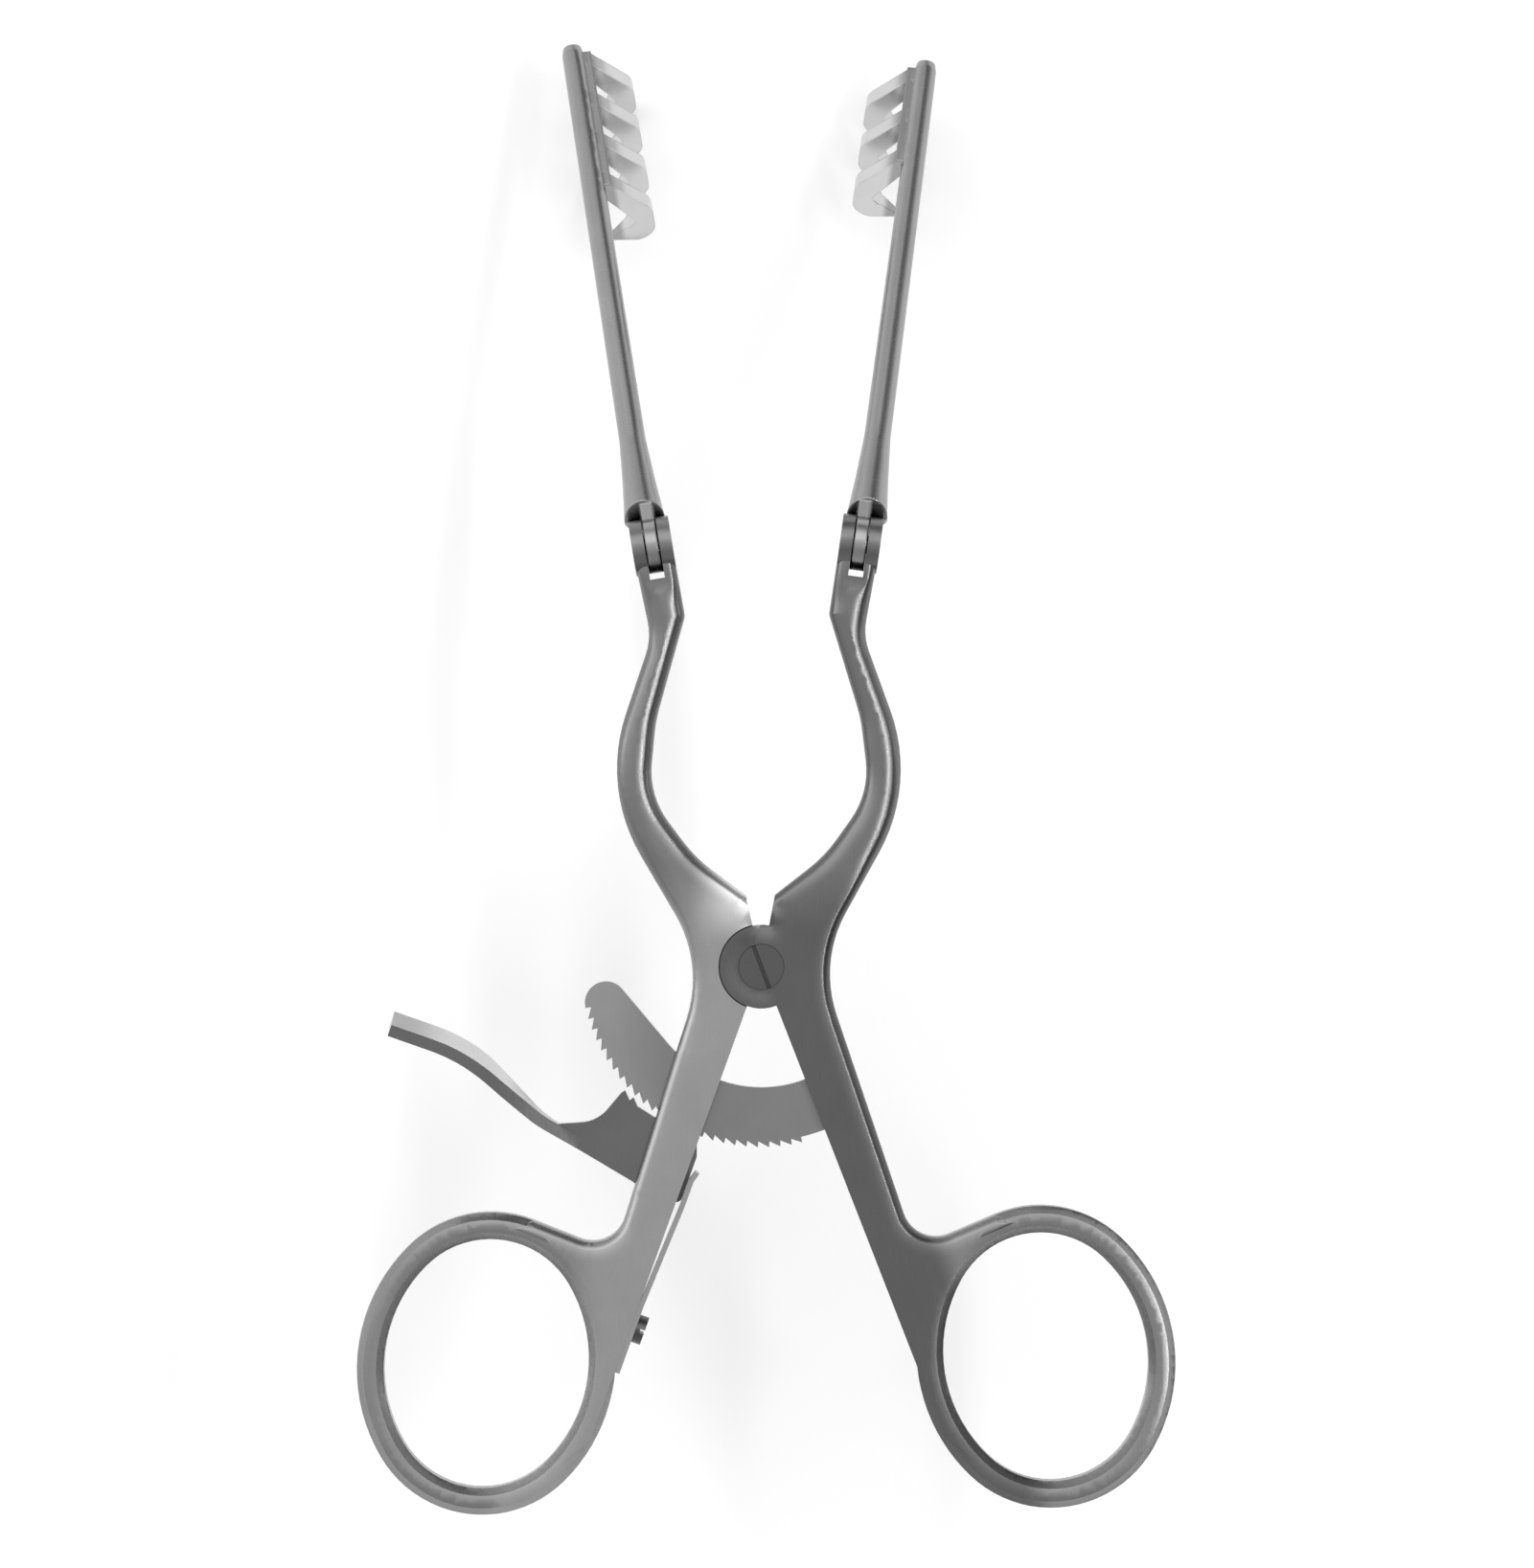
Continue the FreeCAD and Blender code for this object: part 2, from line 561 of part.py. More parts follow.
def make_ring(body, label, side):
    """Finger ring: an oval of four arcs that meet smoothly, with a bevelled section."""
    length = cell("ring_half_height")
    width = cell("ring_half_width")
    tight = cell("ring_end_radius")
    slow = (length * length - 2 * length * tight + width * width) / ((width - tight) * 2)
    meet = math.degrees(math.atan2(float(length - tight), float(slow - width)))
    arcs = [
        ("upper", zero, length - tight, tight, meet, 180 - meet),
        ("right", width - slow, zero, slow, -meet, meet),
        ("left", slow - width, zero, slow, 180 - meet, 180 + meet),
        ("lower", zero, tight - length, tight, 180 + meet, 360 - meet),
    ]
    for name, across, up, radius, start, end in arcs:
        middle = ring_place(side, side_x(side, across), up)
        turn = Rotation(Vector(0, 1, 0), side * float(cell("ring_tilt")) + start)
        section = new_sketch(body, f"{label}_ring_{name}_section", "XZ_Plane",
                             (middle[0], mid_height, -middle[1]), turn)
        half_band = cell("ring_band") / 2
        half_depth = cell("ring_depth") / 2
        flat_band = half_band - cell("ring_bevel")
        flat_depth = half_depth - cell("ring_bevel")
        draw_outline(section, [
            (radius - flat_band, -half_depth),
            (radius + flat_band, -half_depth),
            (radius + half_band, -flat_depth),
            (radius + half_band, flat_depth),
            (radius + flat_band, half_depth),
            (radius - flat_band, half_depth),
            (radius - half_band, flat_depth),
            (radius - half_band, -flat_depth),
        ])
        ring = body.newObject("PartDesign::Revolution", f"{label}_ring_{name}")
        ring.Profile = section
        ring.ReferenceAxis = (section, ["V_Axis"])
        ring.Angle = end - start
        doc.recompute()


def make_lap(body, label, side):
    """The right arm keeps the front half of the joint, the left arm the back half."""
    front = mid_height + lap_gap / 2
    back = mid_height - lap_gap / 2
    disc_base = front if side > 0 else zero
    disc_height = thickness - front if side > 0 else back
    disc = new_sketch(body, f"{label}_disc_line", base=(0, 0, disc_base))
    draw_circle(disc, (zero, zero), cell("lap_radius"))
    pad(body, disc, disc_height, f"{label}_disc")
    socket_base = zero if side > 0 else back
    socket_height = front if side > 0 else thickness - back
    socket = new_sketch(body, f"{label}_socket_line", base=(0, 0, socket_base))
    draw_circle(socket, (zero, zero), cell("lap_radius") + cell("lap_clearance"))
    pocket(body, socket, socket_height, f"{label}_socket")
    bore_radius = cell("screw_radius") + (pin_clearance if side > 0 else 0)
    primitive(body, "SubtractiveCylinder", f"{label}_pivot_bore", (0, 0, 0), flat_turn,
              {"Radius": bore_radius, "Height": thickness})
    if side > 0:
        seat = thickness - cell("screw_head_seat")
        primitive(body, "SubtractiveCylinder", f"{label}_head_seat", (0, 0, seat), flat_turn,
                  {"Radius": cell("screw_head_radius") + pin_clearance, "Height": cell("screw_head_seat")})


def make_fork(body, label, side):
    knuckle = hinge_point(side, side * knuckle_width / -2, zero)
    primitive(body, "AdditiveCylinder", f"{label}_knuckle", (*knuckle, mid_height), hinge_axis_turn(side),
              {"Radius": cell("knuckle_radius"), "Height": knuckle_width})
    slot_width = cell("tongue_width") + cell("tongue_clearance") * 2
    reach = cell("knuckle_radius") * 2
    corner = hinge_point(side, side * slot_width / -2, -cell("fork_depth"))
    primitive(body, "SubtractiveBox", f"{label}_fork_slot", (*corner, mid_height - reach), hinge_turn(side),
              {"Length": slot_width, "Width": cell("fork_depth") + reach, "Height": reach * 2})
    primitive(body, "SubtractiveCylinder", f"{label}_hinge_bore", (*knuckle, mid_height), hinge_axis_turn(side),
              {"Radius": cell("hinge_pin_radius"), "Height": knuckle_width})


def draw_sector(sketch, inner, outer, start, end):
    """A sector between two radii about the pivot."""
    up = Vector(0, 0, 1)
    angles = (math.radians(float(start)), math.radians(float(end)))
    far = sketch.addGeometry(Part.ArcOfCircle(Part.Circle(Vector(), up, float(outer)), *angles))
    near = sketch.addGeometry(Part.ArcOfCircle(Part.Circle(Vector(), up, float(inner)), *angles))
    rays = []
    for angle in angles:
        ray = Vector(math.cos(angle), math.sin(angle), 0)
        rays.append(sketch.addGeometry(Part.LineSegment(ray * float(inner), ray * float(outer))))
    for number, ray in enumerate(rays, start=1):
        sketch.addConstraint(Sketcher.Constraint("Coincident", ray, 1, near, number))
        sketch.addConstraint(Sketcher.Constraint("Coincident", ray, 2, far, number))
        sketch.addConstraint(Sketcher.Constraint("PointOnObject", -1, 1, ray))
        angle = start if number == 1 else end
        constrain(sketch, outer * cosine(angle), "DistanceX", -1, 1, ray, 2)
    for arc, radius in ((far, outer), (near, inner)):
        sketch.addConstraint(Sketcher.Constraint("Coincident", arc, 3, -1, 1))
        constrain(sketch, radius, "Radius", arc)


left_arm = make_arm("left_arm", -1)
slot_height = rack_thickness + cell("slot_clearance") * 2
pin_along = cell("rack_tip_radius") + cell("lever_pin_beyond")
lever_pin = shank_point(-1, cell("lever_pin_out"), pin_along)
slot_top = rack_inner_radius - cell("slot_above_rack")
slot_bottom = pin_along + cell("slot_below_pin")
slot_reach = cell("waist_x") + overcut
slot_corner = shank_point(-1, slot_reach, slot_bottom)
primitive(left_arm, "SubtractiveBox", "left_arm_slot", (*slot_corner, mid_height - slot_height / 2),
          shank_turn(-1),
          {"Length": slot_reach + overcut, "Width": slot_bottom - slot_top, "Height": slot_height})
primitive(left_arm, "SubtractiveCylinder", "left_arm_lever_pin_bore", (*lever_pin, 0), flat_turn,
          {"Radius": cell("lever_pin_radius"), "Height": thickness})
spring_screw_along = cell("ring_along") - cell("spring_screw_above_ring")
screw_foot = shank_point(-1, cell("spring_screw_depth"), spring_screw_along)
screw_turn = shank_turn(-1) * along_x
primitive(left_arm, "SubtractiveCylinder", "left_arm_spring_screw_bore", (*screw_foot, mid_height), screw_turn,
          {"Radius": cell("spring_screw_radius"), "Height": cell("spring_screw_depth")})

right_arm = make_arm("right_arm", 1)
seat_line = new_sketch(right_arm, "right_arm_rack_seat_line", base=(0, 0, rack_bottom))
draw_sector(seat_line, rack_inner_radius, root_radius, cell("shank_lean") - 90 - cell("rack_seat_margin"),
            cell("rack_root_end"))
pocket(right_arm, seat_line, rack_thickness, "right_arm_rack_seat")
primitive(right_arm, "SubtractiveCylinder", "right_arm_rivet_bore", (*rivet_centre, 0), flat_turn,
          {"Radius": cell("rivet_radius"), "Height": thickness})


def make_pivot_screw():
    """Slotted screw: its body turns in the right arm's disc and is screwed into the left arm's."""
    body = new_body("pivot_screw")
    seat = thickness - cell("screw_head_seat")
    head_height = cell("screw_head_seat") + cell("screw_head_proud")
    primitive(body, "AdditiveCylinder", "pivot_screw_body", (0, 0, 0), flat_turn,
              {"Radius": cell("screw_radius"), "Height": thickness - cell("screw_head_seat") / 2})
    primitive(body, "AdditiveCylinder", "pivot_screw_head", (0, 0, seat), flat_turn,
              {"Radius": cell("screw_head_radius"), "Height": head_height})
    slot_turn = Rotation(Vector(0, 0, 1), float(cell("screw_slot_turn")))
    length = (cell("screw_head_radius") + overlap) * 2
    floor = thickness + cell("screw_head_proud") - cell("screw_slot_depth")
    corner = turned((-cell("screw_slot_width") / 2, -length / 2), (zero, zero), cell("screw_slot_turn"))
    primitive(body, "SubtractiveBox", "pivot_screw_slot", (*corner, floor), slot_turn,
              {"Length": cell("screw_slot_width"), "Width": length, "Height": cell("screw_slot_depth")})
    return body


def make_pin(label, radius, length, base, turn):
    """Plain pin, ground flush at both ends."""
    body = new_body(label)
    primitive(body, "AdditiveCylinder", f"{label}_body", base, turn, {"Radius": radius, "Height": length})
    return body


def make_blade(label, side, length, prongs):
    """Forged blade: tongue in the fork, tapering bar and a row of hooked prongs on its inner side."""
    body = new_body(label)
    shoulder = cell("blade_shoulder")
    share = cell("bar_end_share")
    bar_line = new_sketch(body, f"{label}_bar_line", base=(side_x(side, cell("bar_offset")), 0, 0))
    draw_outline(bar_line, [
        (zero, shoulder),
        (cell("shoulder_radius_of_bar"), shoulder),
        (cell("waist_radius_of_bar"), cell("waist_along")),
        (cell("bar_radius"), cell("bar_start")),
        (cell("bar_radius") * share, length - cell("bar_dome")),
        (cell("bar_radius") * share * share, length),
        (zero, length),
    ])
    bar = body.newObject("PartDesign::Revolution", f"{label}_bar")
    bar.Profile = bar_line
    bar.ReferenceAxis = (bar_line, ["V_Axis"])
    bar.Angle = 360
    doc.recompute()

    # The shoulder's end slants back, so that it clears the fork.
    slant = new_sketch(body, f"{label}_slant_line", "YZ_Plane", (0, 0, -cell("shoulder_radius_of_bar") - overcut))
    high = cell("shoulder_radius_of_bar") + overcut
    back = shoulder + cell("shoulder_cut_back")
    draw_outline(slant, [(shoulder, zero), (back, cell("shoulder_radius_of_bar")), (back, high),
                         (shoulder - overcut, high), (shoulder - overcut, zero)])
    pocket(body, slant, (cell("shoulder_radius_of_bar") + overcut) * 2, f"{label}_slant")

    tongue = cell("tongue_width")
    primitive(body, "AdditiveCylinder", f"{label}_tongue_end", (-tongue / 2, 0, 0), along_x,
              {"Radius": cell("knuckle_radius") - cell("tongue_inset"), "Height": tongue})
    primitive(body, "AdditiveBox", f"{label}_tongue", (-tongue / 2, 0, -cell("waist_radius_of_bar")), flat_turn,
              {"Length": tongue, "Width": back, "Height": cell("waist_radius_of_bar") * 2})

    row_end = length - cell("prong_end_gap")
    row_length = cell("prong_pitch") * (prongs - 1) + cell("prong_width")
    primitive(body, "AdditiveBox", f"{label}_web",
              (-cell("web_width") if side > 0 else zero, row_end - row_length, -cell("web_depth")), flat_turn,
              {"Length": cell("web_width"), "Width": row_length, "Height": cell("web_depth") + cell("web_top")})

    # The prong's outline is drawn from the pin's middle inwards and down.
    leg_slope = sine(cell("prong_slope")) / cosine(cell("prong_slope"))
    leg_end = cell("prong_top") - (cell("prong_reach") - cell("prong_bend")) * leg_slope
    low = -cell("prong_depth")
    profile = new_sketch(body, f"{label}_prong_line", "XZ_Plane", (0, 0, -row_end))
    corners = [
        (-cell("prong_root_out"), cell("prong_top")),
        (cell("prong_bend"), cell("prong_top"), cell("prong_inner_radius")),
        (cell("prong_reach"), leg_end, cell("prong_bend_radius")),
        (cell("prong_reach"), low, cell("prong_heel_radius")),
        (cell("prong_return"), low),
        (cell("prong_return"), low + cell("prong_point")),
        (cell("prong_hook_reach"), -cell("prong_hook_depth"), cell("prong_inner_radius")),
        (-cell("prong_root_out"), -cell("prong_root_low")),
    ]
    draw_outline(profile, [(side_x(-side, corner[0]), *corner[1:]) for corner in corners])
    prong = pad(body, profile, cell("prong_width"), f"{label}_prong")

    taper = new_sketch(body, f"{label}_taper_line", base=(0, 0, low - overcut))
    middle = row_end - cell("prong_width") / 2
    for hand in (1, -1):
        edge = cell("prong_width") / 2 * hand
        draw_outline(taper, [
            (side_x(-side, cell("prong_taper_reach")), middle + edge),
            (side_x(-side, cell("prong_return") - overlap), middle + cell("prong_point_width") / 2 * hand),
            (side_x(-side, cell("prong_return") - overlap), middle + edge + overcut * hand),
            (side_x(-side, cell("prong_taper_reach")), middle + edge + overcut * hand),
        ])
    taper_height = cell("prong_depth") + overcut - cell("prong_taper_depth")
    narrowed = pocket(body, taper, taper_height, f"{label}_taper")

    row = body.newObject("PartDesign::LinearPattern", f"{label}_prongs")
    row.Originals = [prong, narrowed]
    row.Direction = (origin_feature(body, "Y_Axis"), [""])
    row.Reversed = True
    row.Length = float(cell("prong_pitch") * (prongs - 1))
    bind(row, "Length", cell("prong_pitch") * (prongs - 1))
    row.Occurrences = int(float(prongs))
    body.Tip = row
    doc.recompute()
    primitive(body, "SubtractiveCylinder", f"{label}_bore", (-tongue / 2, 0, 0), along_x,
              {"Radius": cell("hinge_pin_radius") + pin_clearance, "Height": tongue})

    pin = hinge_point(side, zero, zero)
    fold = Rotation(Vector(1, 0, 0), -float(cell("rest_fold")))
    body.Placement = Placement(Vector(float(pin[0]), float(pin[1]), float(mid_height)), hinge_turn(side) * fold)
    return body


def make_rack():
    """Curved rack, stamped from sheet, with teeth on its outer edge and a rounded free end."""
    body = new_body("ratchet_bar")
    sketch = new_sketch(body, "rack_blank_line", base=(0, 0, rack_bottom))
    tip = cell("rack_tip_radius")
    inner = rack_inner_radius
    end_radius = cell("rack_end_radius")
    end_centre = polar(tip - end_radius, cell("rack_first_tip"))
    root = cell("rack_root_end")
    # The straight inner edge of the free end touches the inner arc and the end's rounding.
    spread = math.degrees(math.acos(float(inner + end_radius) / float(tip - end_radius)))
    normal = math.radians(float(cell("rack_first_tip")) + 180 + spread)
    lean = Vector(math.cos(normal), math.sin(normal), 0)
    centre = Vector(float(end_centre[0]), float(end_centre[1]), 0)
    touch_end = centre + lean * float(end_radius)
    touch_inner = lean * -float(inner)
    up = Vector(0, 0, 1)
    root_angle = math.radians(float(root))
    tip_angle = math.radians(float(cell("rack_first_tip")))
    outer_arc = sketch.addGeometry(Part.ArcOfCircle(Part.Circle(Vector(), up, float(tip)), tip_angle, root_angle))
    end_arc = sketch.addGeometry(Part.ArcOfCircle(Part.Circle(centre, up, float(end_radius)), normal,
                                                  tip_angle + 2 * math.pi))
    edge = sketch.addGeometry(Part.LineSegment(touch_end, touch_inner))
    inner_arc = sketch.addGeometry(Part.ArcOfCircle(Part.Circle(Vector(), up, float(inner)),
                                                    normal - math.pi, root_angle))
    foot = sketch.addGeometry(Part.LineSegment(
        Vector(math.cos(root_angle), math.sin(root_angle), 0) * float(inner),
        Vector(math.cos(root_angle), math.sin(root_angle), 0) * float(tip)))
    for join in ((outer_arc, 1, end_arc, 2), (end_arc, 1, edge, 1), (edge, 2, inner_arc, 1)):
        sketch.addConstraint(Sketcher.Constraint("Tangent", *join))
    for join in ((inner_arc, 2, foot, 1), (foot, 2, outer_arc, 2), (outer_arc, 3, -1, 1), (inner_arc, 3, -1, 1)):
        sketch.addConstraint(Sketcher.Constraint("Coincident", *join))
    sketch.addConstraint(Sketcher.Constraint("PointOnObject", -1, 1, foot))
    constrain(sketch, tip, "Radius", outer_arc)
    constrain(sketch, inner, "Radius", inner_arc)
    constrain(sketch, end_radius, "Radius", end_arc)
    constrain(sketch, end_centre[0], "DistanceX", -1, 1, end_arc, 3)
    constrain(sketch, tip * cosine(root), "DistanceX", -1, 1, foot, 2)
    pad(body, sketch, rack_thickness, "rack_blank")

    first = cell("rack_first_tip")
    pitch = cell("rack_pitch")
    gap = new_sketch(body, "rack_gap_line", base=(0, 0, rack_bottom))
    draw_outline(gap, [
        polar(tip + overcut, first),
        polar(root_radius, first + cell("rack_steep_lean")),
        polar(tip, first + pitch),
        polar(tip + overcut, first + pitch),
    ])
    cut = pocket(body, gap, rack_thickness, "rack_gap")
    gaps = cell("rack_teeth") - 1
    row = body.newObject("PartDesign::PolarPattern", "rack_gaps")
    row.Originals = [cut]
    row.Axis = (origin_feature(body, "Z_Axis"), [""])
    row.Angle = float(pitch * (gaps - 1))
    bind(row, "Angle", pitch * (gaps - 1))
    row.Occurrences = int(float(gaps))
    body.Tip = row
    doc.recompute()

    last = first + pitch * gaps
    run_out = new_sketch(body, "rack_run_out_line", base=(0, 0, rack_bottom))
    draw_sector(run_out, root_radius, tip + overcut, last, root + overcut)
    pocket(body, run_out, rack_thickness, "rack_run_out")
    primitive(body, "SubtractiveCylinder", "rack_rivet_bore", (*rivet_centre, rack_bottom), flat_turn,
              {"Radius": cell("rivet_radius"), "Height": rack_thickness})
    return body


def down_slope(point, length, slope):
    """The point at that distance along a line that falls to the right."""
    return point[0] + length * cosine(slope), point[1] - length * sine(slope)


def make_lever():
    """Release lever: toothed pawl, thumb strip and tail, cut and bent from one plate."""
    body = new_body("release_lever")
    lift = cell("pawl_lift")
    clearance = cell("pawl_clearance")
    pitch = cell("rack_pitch")
    stand_off = cell("pawl_back_angle")
    lean = cell("rack_steep_lean")
    first = cell("rack_first_tip") + pitch * cell("pawl_first_gap")
    teeth = int(float(cell("pawl_teeth")))
    rack_tip = cell("rack_tip_radius") + clearance
    rise = cell("rack_tooth_depth") * stand_off / (pitch - lean)
    seated = []
    for tooth in range(teeth):
        start = first + pitch * tooth
        seated.append(polar(rack_tip, start + stand_off))
        seated.append(polar(root_radius + rise + clearance, start + stand_off + lean))
    seated.append(polar(rack_tip, first + pitch * teeth))
    pawl = [turned(point, lever_pin, lift) for point in seated]

    thumb = cell("thumb_slope")
    stem = cell("stem_slope")
    slope = cell("plate_slope")
    end = (lever_pin[0] - cell("lever_reach"), lever_pin[1] + cell("lever_rise"))
    bend = down_slope(end, cell("thumb_length"), thumb)
    knee = down_slope(bend, cell("stem_length"), stem)
    thick = cell("strip_thickness")
    start = down_slope(knee, cell("plate_start"), slope)
    plate = new_sketch(body, "lever_plate_line", base=(0, 0, rack_bottom))
    draw_outline(plate, pawl + [
        turned(polar(rack_tip, cell("plate_front_angle")), lever_pin, lift),
        (lever_pin[0] + cell("nose_across"), lever_pin[1] + cell("nose_up"), cell("nose_radius")),
        shank_point(-1, cell("tail_root_out"), cell("rack_tip_radius") + cell("tail_root_gap")),
        (*shank_point(-1, -cell("tail_proud"), pin_along - cell("tail_above_pin")), cell("tail_radius")),
        (*shank_point(-1, -cell("tail_proud"), pin_along + cell("tail_below_pin")), cell("tail_radius")),
        (lever_pin[0] - cell("plate_low_across"), lever_pin[1] - cell("plate_low_down")),
        down_slope(knee, cell("plate_edge"), slope),
        start,
        (start[0] + thick * sine(slope), start[1] + thick * cosine(slope)),
        (knee[0] + cell("plate_hollow_across"), knee[1] + cell("plate_hollow_up"),
         cell("plate_hollow_radius")),
    ])
    pad(body, plate, rack_thickness, "lever_plate")

    lines = [thumb, stem, slope]
    low = [end, bend, knee, down_slope(knee, cell("strip_end"), slope)]
    high = []
    for number, point in enumerate(low):
        before = lines[max(number - 1, 0)]
        after = lines[min(number, 2)]
        share = thick / (1 + cosine(after - before))
        high.append((point[0] + share * (sine(before) + sine(after)),
                     point[1] + share * (cosine(before) + cosine(after))))
    half_strip = cell("strip_width") / 2
    strip = new_sketch(body, "lever_strip_line", base=(0, 0, mid_height - half_strip))
    draw_outline(strip, [
        low[0],
        (*low[1], cell("thumb_bend_radius")),
        (*low[2], cell("knee_radius") + thick),
        low[3],
        high[3],
        (*high[2], cell("knee_radius")),
        (*high[1], cell("thumb_bend_radius") + thick),
        high[0],
    ])
    pad(body, strip, half_strip * 2, "lever_strip")
    # Seen from its edge, the strip narrows to the plate's thickness.
    narrow = new_sketch(body, "lever_narrow_line", "XZ_Plane")
    for hand in (1, -1):
        wide = mid_height + (half_strip + overlap) * hand
        draw_outline(narrow, [
            (high[3][0] - cell("strip_taper"), wide),
            (high[3][0], mid_height + rack_thickness / 2 * hand),
            (high[3][0] + overcut, mid_height + rack_thickness / 2 * hand),
            (high[3][0] + overcut, wide),
        ])
    pocket(body, narrow, cell("rack_tip_radius") * 2, "lever_narrow")
    primitive(body, "SubtractiveCylinder", "lever_bore", (*lever_pin, rack_bottom), flat_turn,
              {"Radius": cell("lever_pin_radius") + pin_clearance, "Height": rack_thickness})
    return body


def make_leaf_spring():
    """Flat spring: screwed to the shank's inner edge, it stands off to press the lever's tail."""
    body = new_body("leaf_spring")
    thick = cell("spring_thickness")
    off = cell("tail_proud") + cell("spring_touch_gap")
    top = pin_along + cell("spring_top_below_pin")
    bend = cell("ring_along") - cell("spring_bend_above_ring")
    bottom = cell("ring_along") - cell("spring_foot_above_ring")
    sketch = new_sketch(body, "leaf_spring_line", base=(0, 0, mid_height - cell("spring_width") / 2))
    places = [
        (0, bottom),
        (-thick, bottom),
        (-thick, bend),
        (-off - thick, top + cell("spring_lip_length")),
        (-off - thick - cell("spring_lip"), top),
        (-off, top),
        (-off, top + cell("spring_flat")),
        (0, bend),
    ]
    draw_outline(sketch, [shank_point(-1, as_size(out), down) for out, down in places])
    pad(body, sketch, cell("spring_width"), "leaf_spring_strip")
    foot = shank_point(-1, thick / 2, spring_screw_along)
    primitive(body, "SubtractiveCylinder", "leaf_spring_hole", (*foot, mid_height), screw_turn,
              {"Radius": cell("spring_screw_radius"), "Height": thick * 2})
    return body


def make_spring_screw():
    """Slotted screw with a raised head, screwed into the shank's inner edge."""
    body = new_body("spring_screw")
    thick = cell("spring_thickness")
    primitive(body, "AdditiveCylinder", "spring_screw_body", (*screw_foot, mid_height), screw_turn,
              {"Radius": cell("spring_screw_radius"), "Height": cell("spring_screw_depth") + thick + overlap})
    under_head = shank_point(-1, -thick, spring_screw_along)
    head = cell("spring_screw_head")
    primitive(body, "AdditiveCylinder", "spring_screw_head", (*under_head, mid_height), screw_turn,
              {"Radius": cell("spring_screw_head_radius"), "Height": head})
    width = cell("screw_slot_width")
    reach = cell("spring_screw_head_radius") + overlap
    corner = shank_point(-1, -thick - head + cell("screw_slot_depth"), spring_screw_along + width / 2)
    primitive(body, "SubtractiveBox", "spring_screw_slot", (*corner, mid_height - reach), shank_turn(-1),
              {"Length": cell("screw_slot_depth"), "Width": width, "Height": reach * 2})
    return body


pivot_screw = make_pivot_screw()
left_blade = make_blade("left_blade", -1, cell("left_blade_length"), cell("left_prongs"))
right_length = cell("left_blade_length") - cell("prong_pitch") / 2
right_blade = make_blade("right_blade", 1, right_length, cell("right_prongs"))
pins = []
for label, side in (("left_hinge_pin", -1), ("right_hinge_pin", 1)):
    start = hinge_point(side, side * knuckle_width / -2, zero)
    pins.append(make_pin(label, cell("hinge_pin_radius"), knuckle_width, (*start, mid_height),
                         hinge_axis_turn(side)))
pins.append(make_pin("lever_pin", cell("lever_pin_radius"), thickness, (*lever_pin, 0), flat_turn))
pins.append(make_pin("ratchet_bar_rivet", cell("rivet_radius"), thickness, (*rivet_centre, 0), flat_turn))
ratchet_bar = make_rack()
release_lever = make_lever()
leaf_spring = make_leaf_spring()
spring_screw = make_spring_screw()

pieces = [left_arm, right_arm, pivot_screw, left_blade, right_blade, *pins, ratchet_bar, release_lever,
          leaf_spring, spring_screw]
doc.recompute()
for item in doc.Objects:
    if "Invalid" in item.State or "Error" in item.State:
        raise RuntimeError(f"{item.Name} did not build: {item.State}")
os.makedirs("parts", exist_ok=True)
for piece in pieces:
    if piece.Shape.isNull() or not piece.Shape.isValid() or len(piece.Shape.Solids) != 1:
        raise RuntimeError(f"{piece.Label} is not one valid solid")
    piece.Shape.exportStep(f"parts/{piece.Label}.step")
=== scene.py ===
import math

import bmesh
import bpy
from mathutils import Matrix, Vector
from mathutils.bvhtree import BVHTree


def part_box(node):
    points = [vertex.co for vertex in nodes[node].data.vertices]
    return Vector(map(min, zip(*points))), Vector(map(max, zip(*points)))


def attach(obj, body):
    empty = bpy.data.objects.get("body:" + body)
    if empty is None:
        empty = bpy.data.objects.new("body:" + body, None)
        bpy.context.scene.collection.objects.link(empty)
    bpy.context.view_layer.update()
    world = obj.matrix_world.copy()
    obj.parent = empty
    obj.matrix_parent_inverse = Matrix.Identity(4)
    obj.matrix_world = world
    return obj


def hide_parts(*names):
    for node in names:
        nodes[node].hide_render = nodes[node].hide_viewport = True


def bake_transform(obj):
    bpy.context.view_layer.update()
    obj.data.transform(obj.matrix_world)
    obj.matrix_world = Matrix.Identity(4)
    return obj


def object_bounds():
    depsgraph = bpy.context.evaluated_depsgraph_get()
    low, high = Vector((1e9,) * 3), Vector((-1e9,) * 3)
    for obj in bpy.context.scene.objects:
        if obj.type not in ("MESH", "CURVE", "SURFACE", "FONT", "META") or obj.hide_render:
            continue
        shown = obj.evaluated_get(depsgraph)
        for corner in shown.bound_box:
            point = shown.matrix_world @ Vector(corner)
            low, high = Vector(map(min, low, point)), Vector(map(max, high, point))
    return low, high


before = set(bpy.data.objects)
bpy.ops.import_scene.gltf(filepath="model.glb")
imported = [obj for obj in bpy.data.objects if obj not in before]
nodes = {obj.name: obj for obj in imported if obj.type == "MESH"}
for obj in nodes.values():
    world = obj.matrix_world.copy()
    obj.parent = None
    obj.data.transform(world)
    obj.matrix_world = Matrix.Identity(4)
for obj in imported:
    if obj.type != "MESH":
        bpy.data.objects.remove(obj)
cad_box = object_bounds()
MM = 0.001


# The photograph's camera
# It looks straight down on the handles, and is turned a little, so the retractor leans to the left.
# The plane of the handles' upper faces is seen at one scale, and the folded blades lie further away.
picture_height_px = 1637
mm_per_px = 0.102
camera_height = 600 * MM
camera_over = Vector((0.85 * MM, 19.5 * MM))
camera_roll = math.radians(-0.7)
sensor_height_mm = 24
handle_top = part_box("left_arm")[1].z

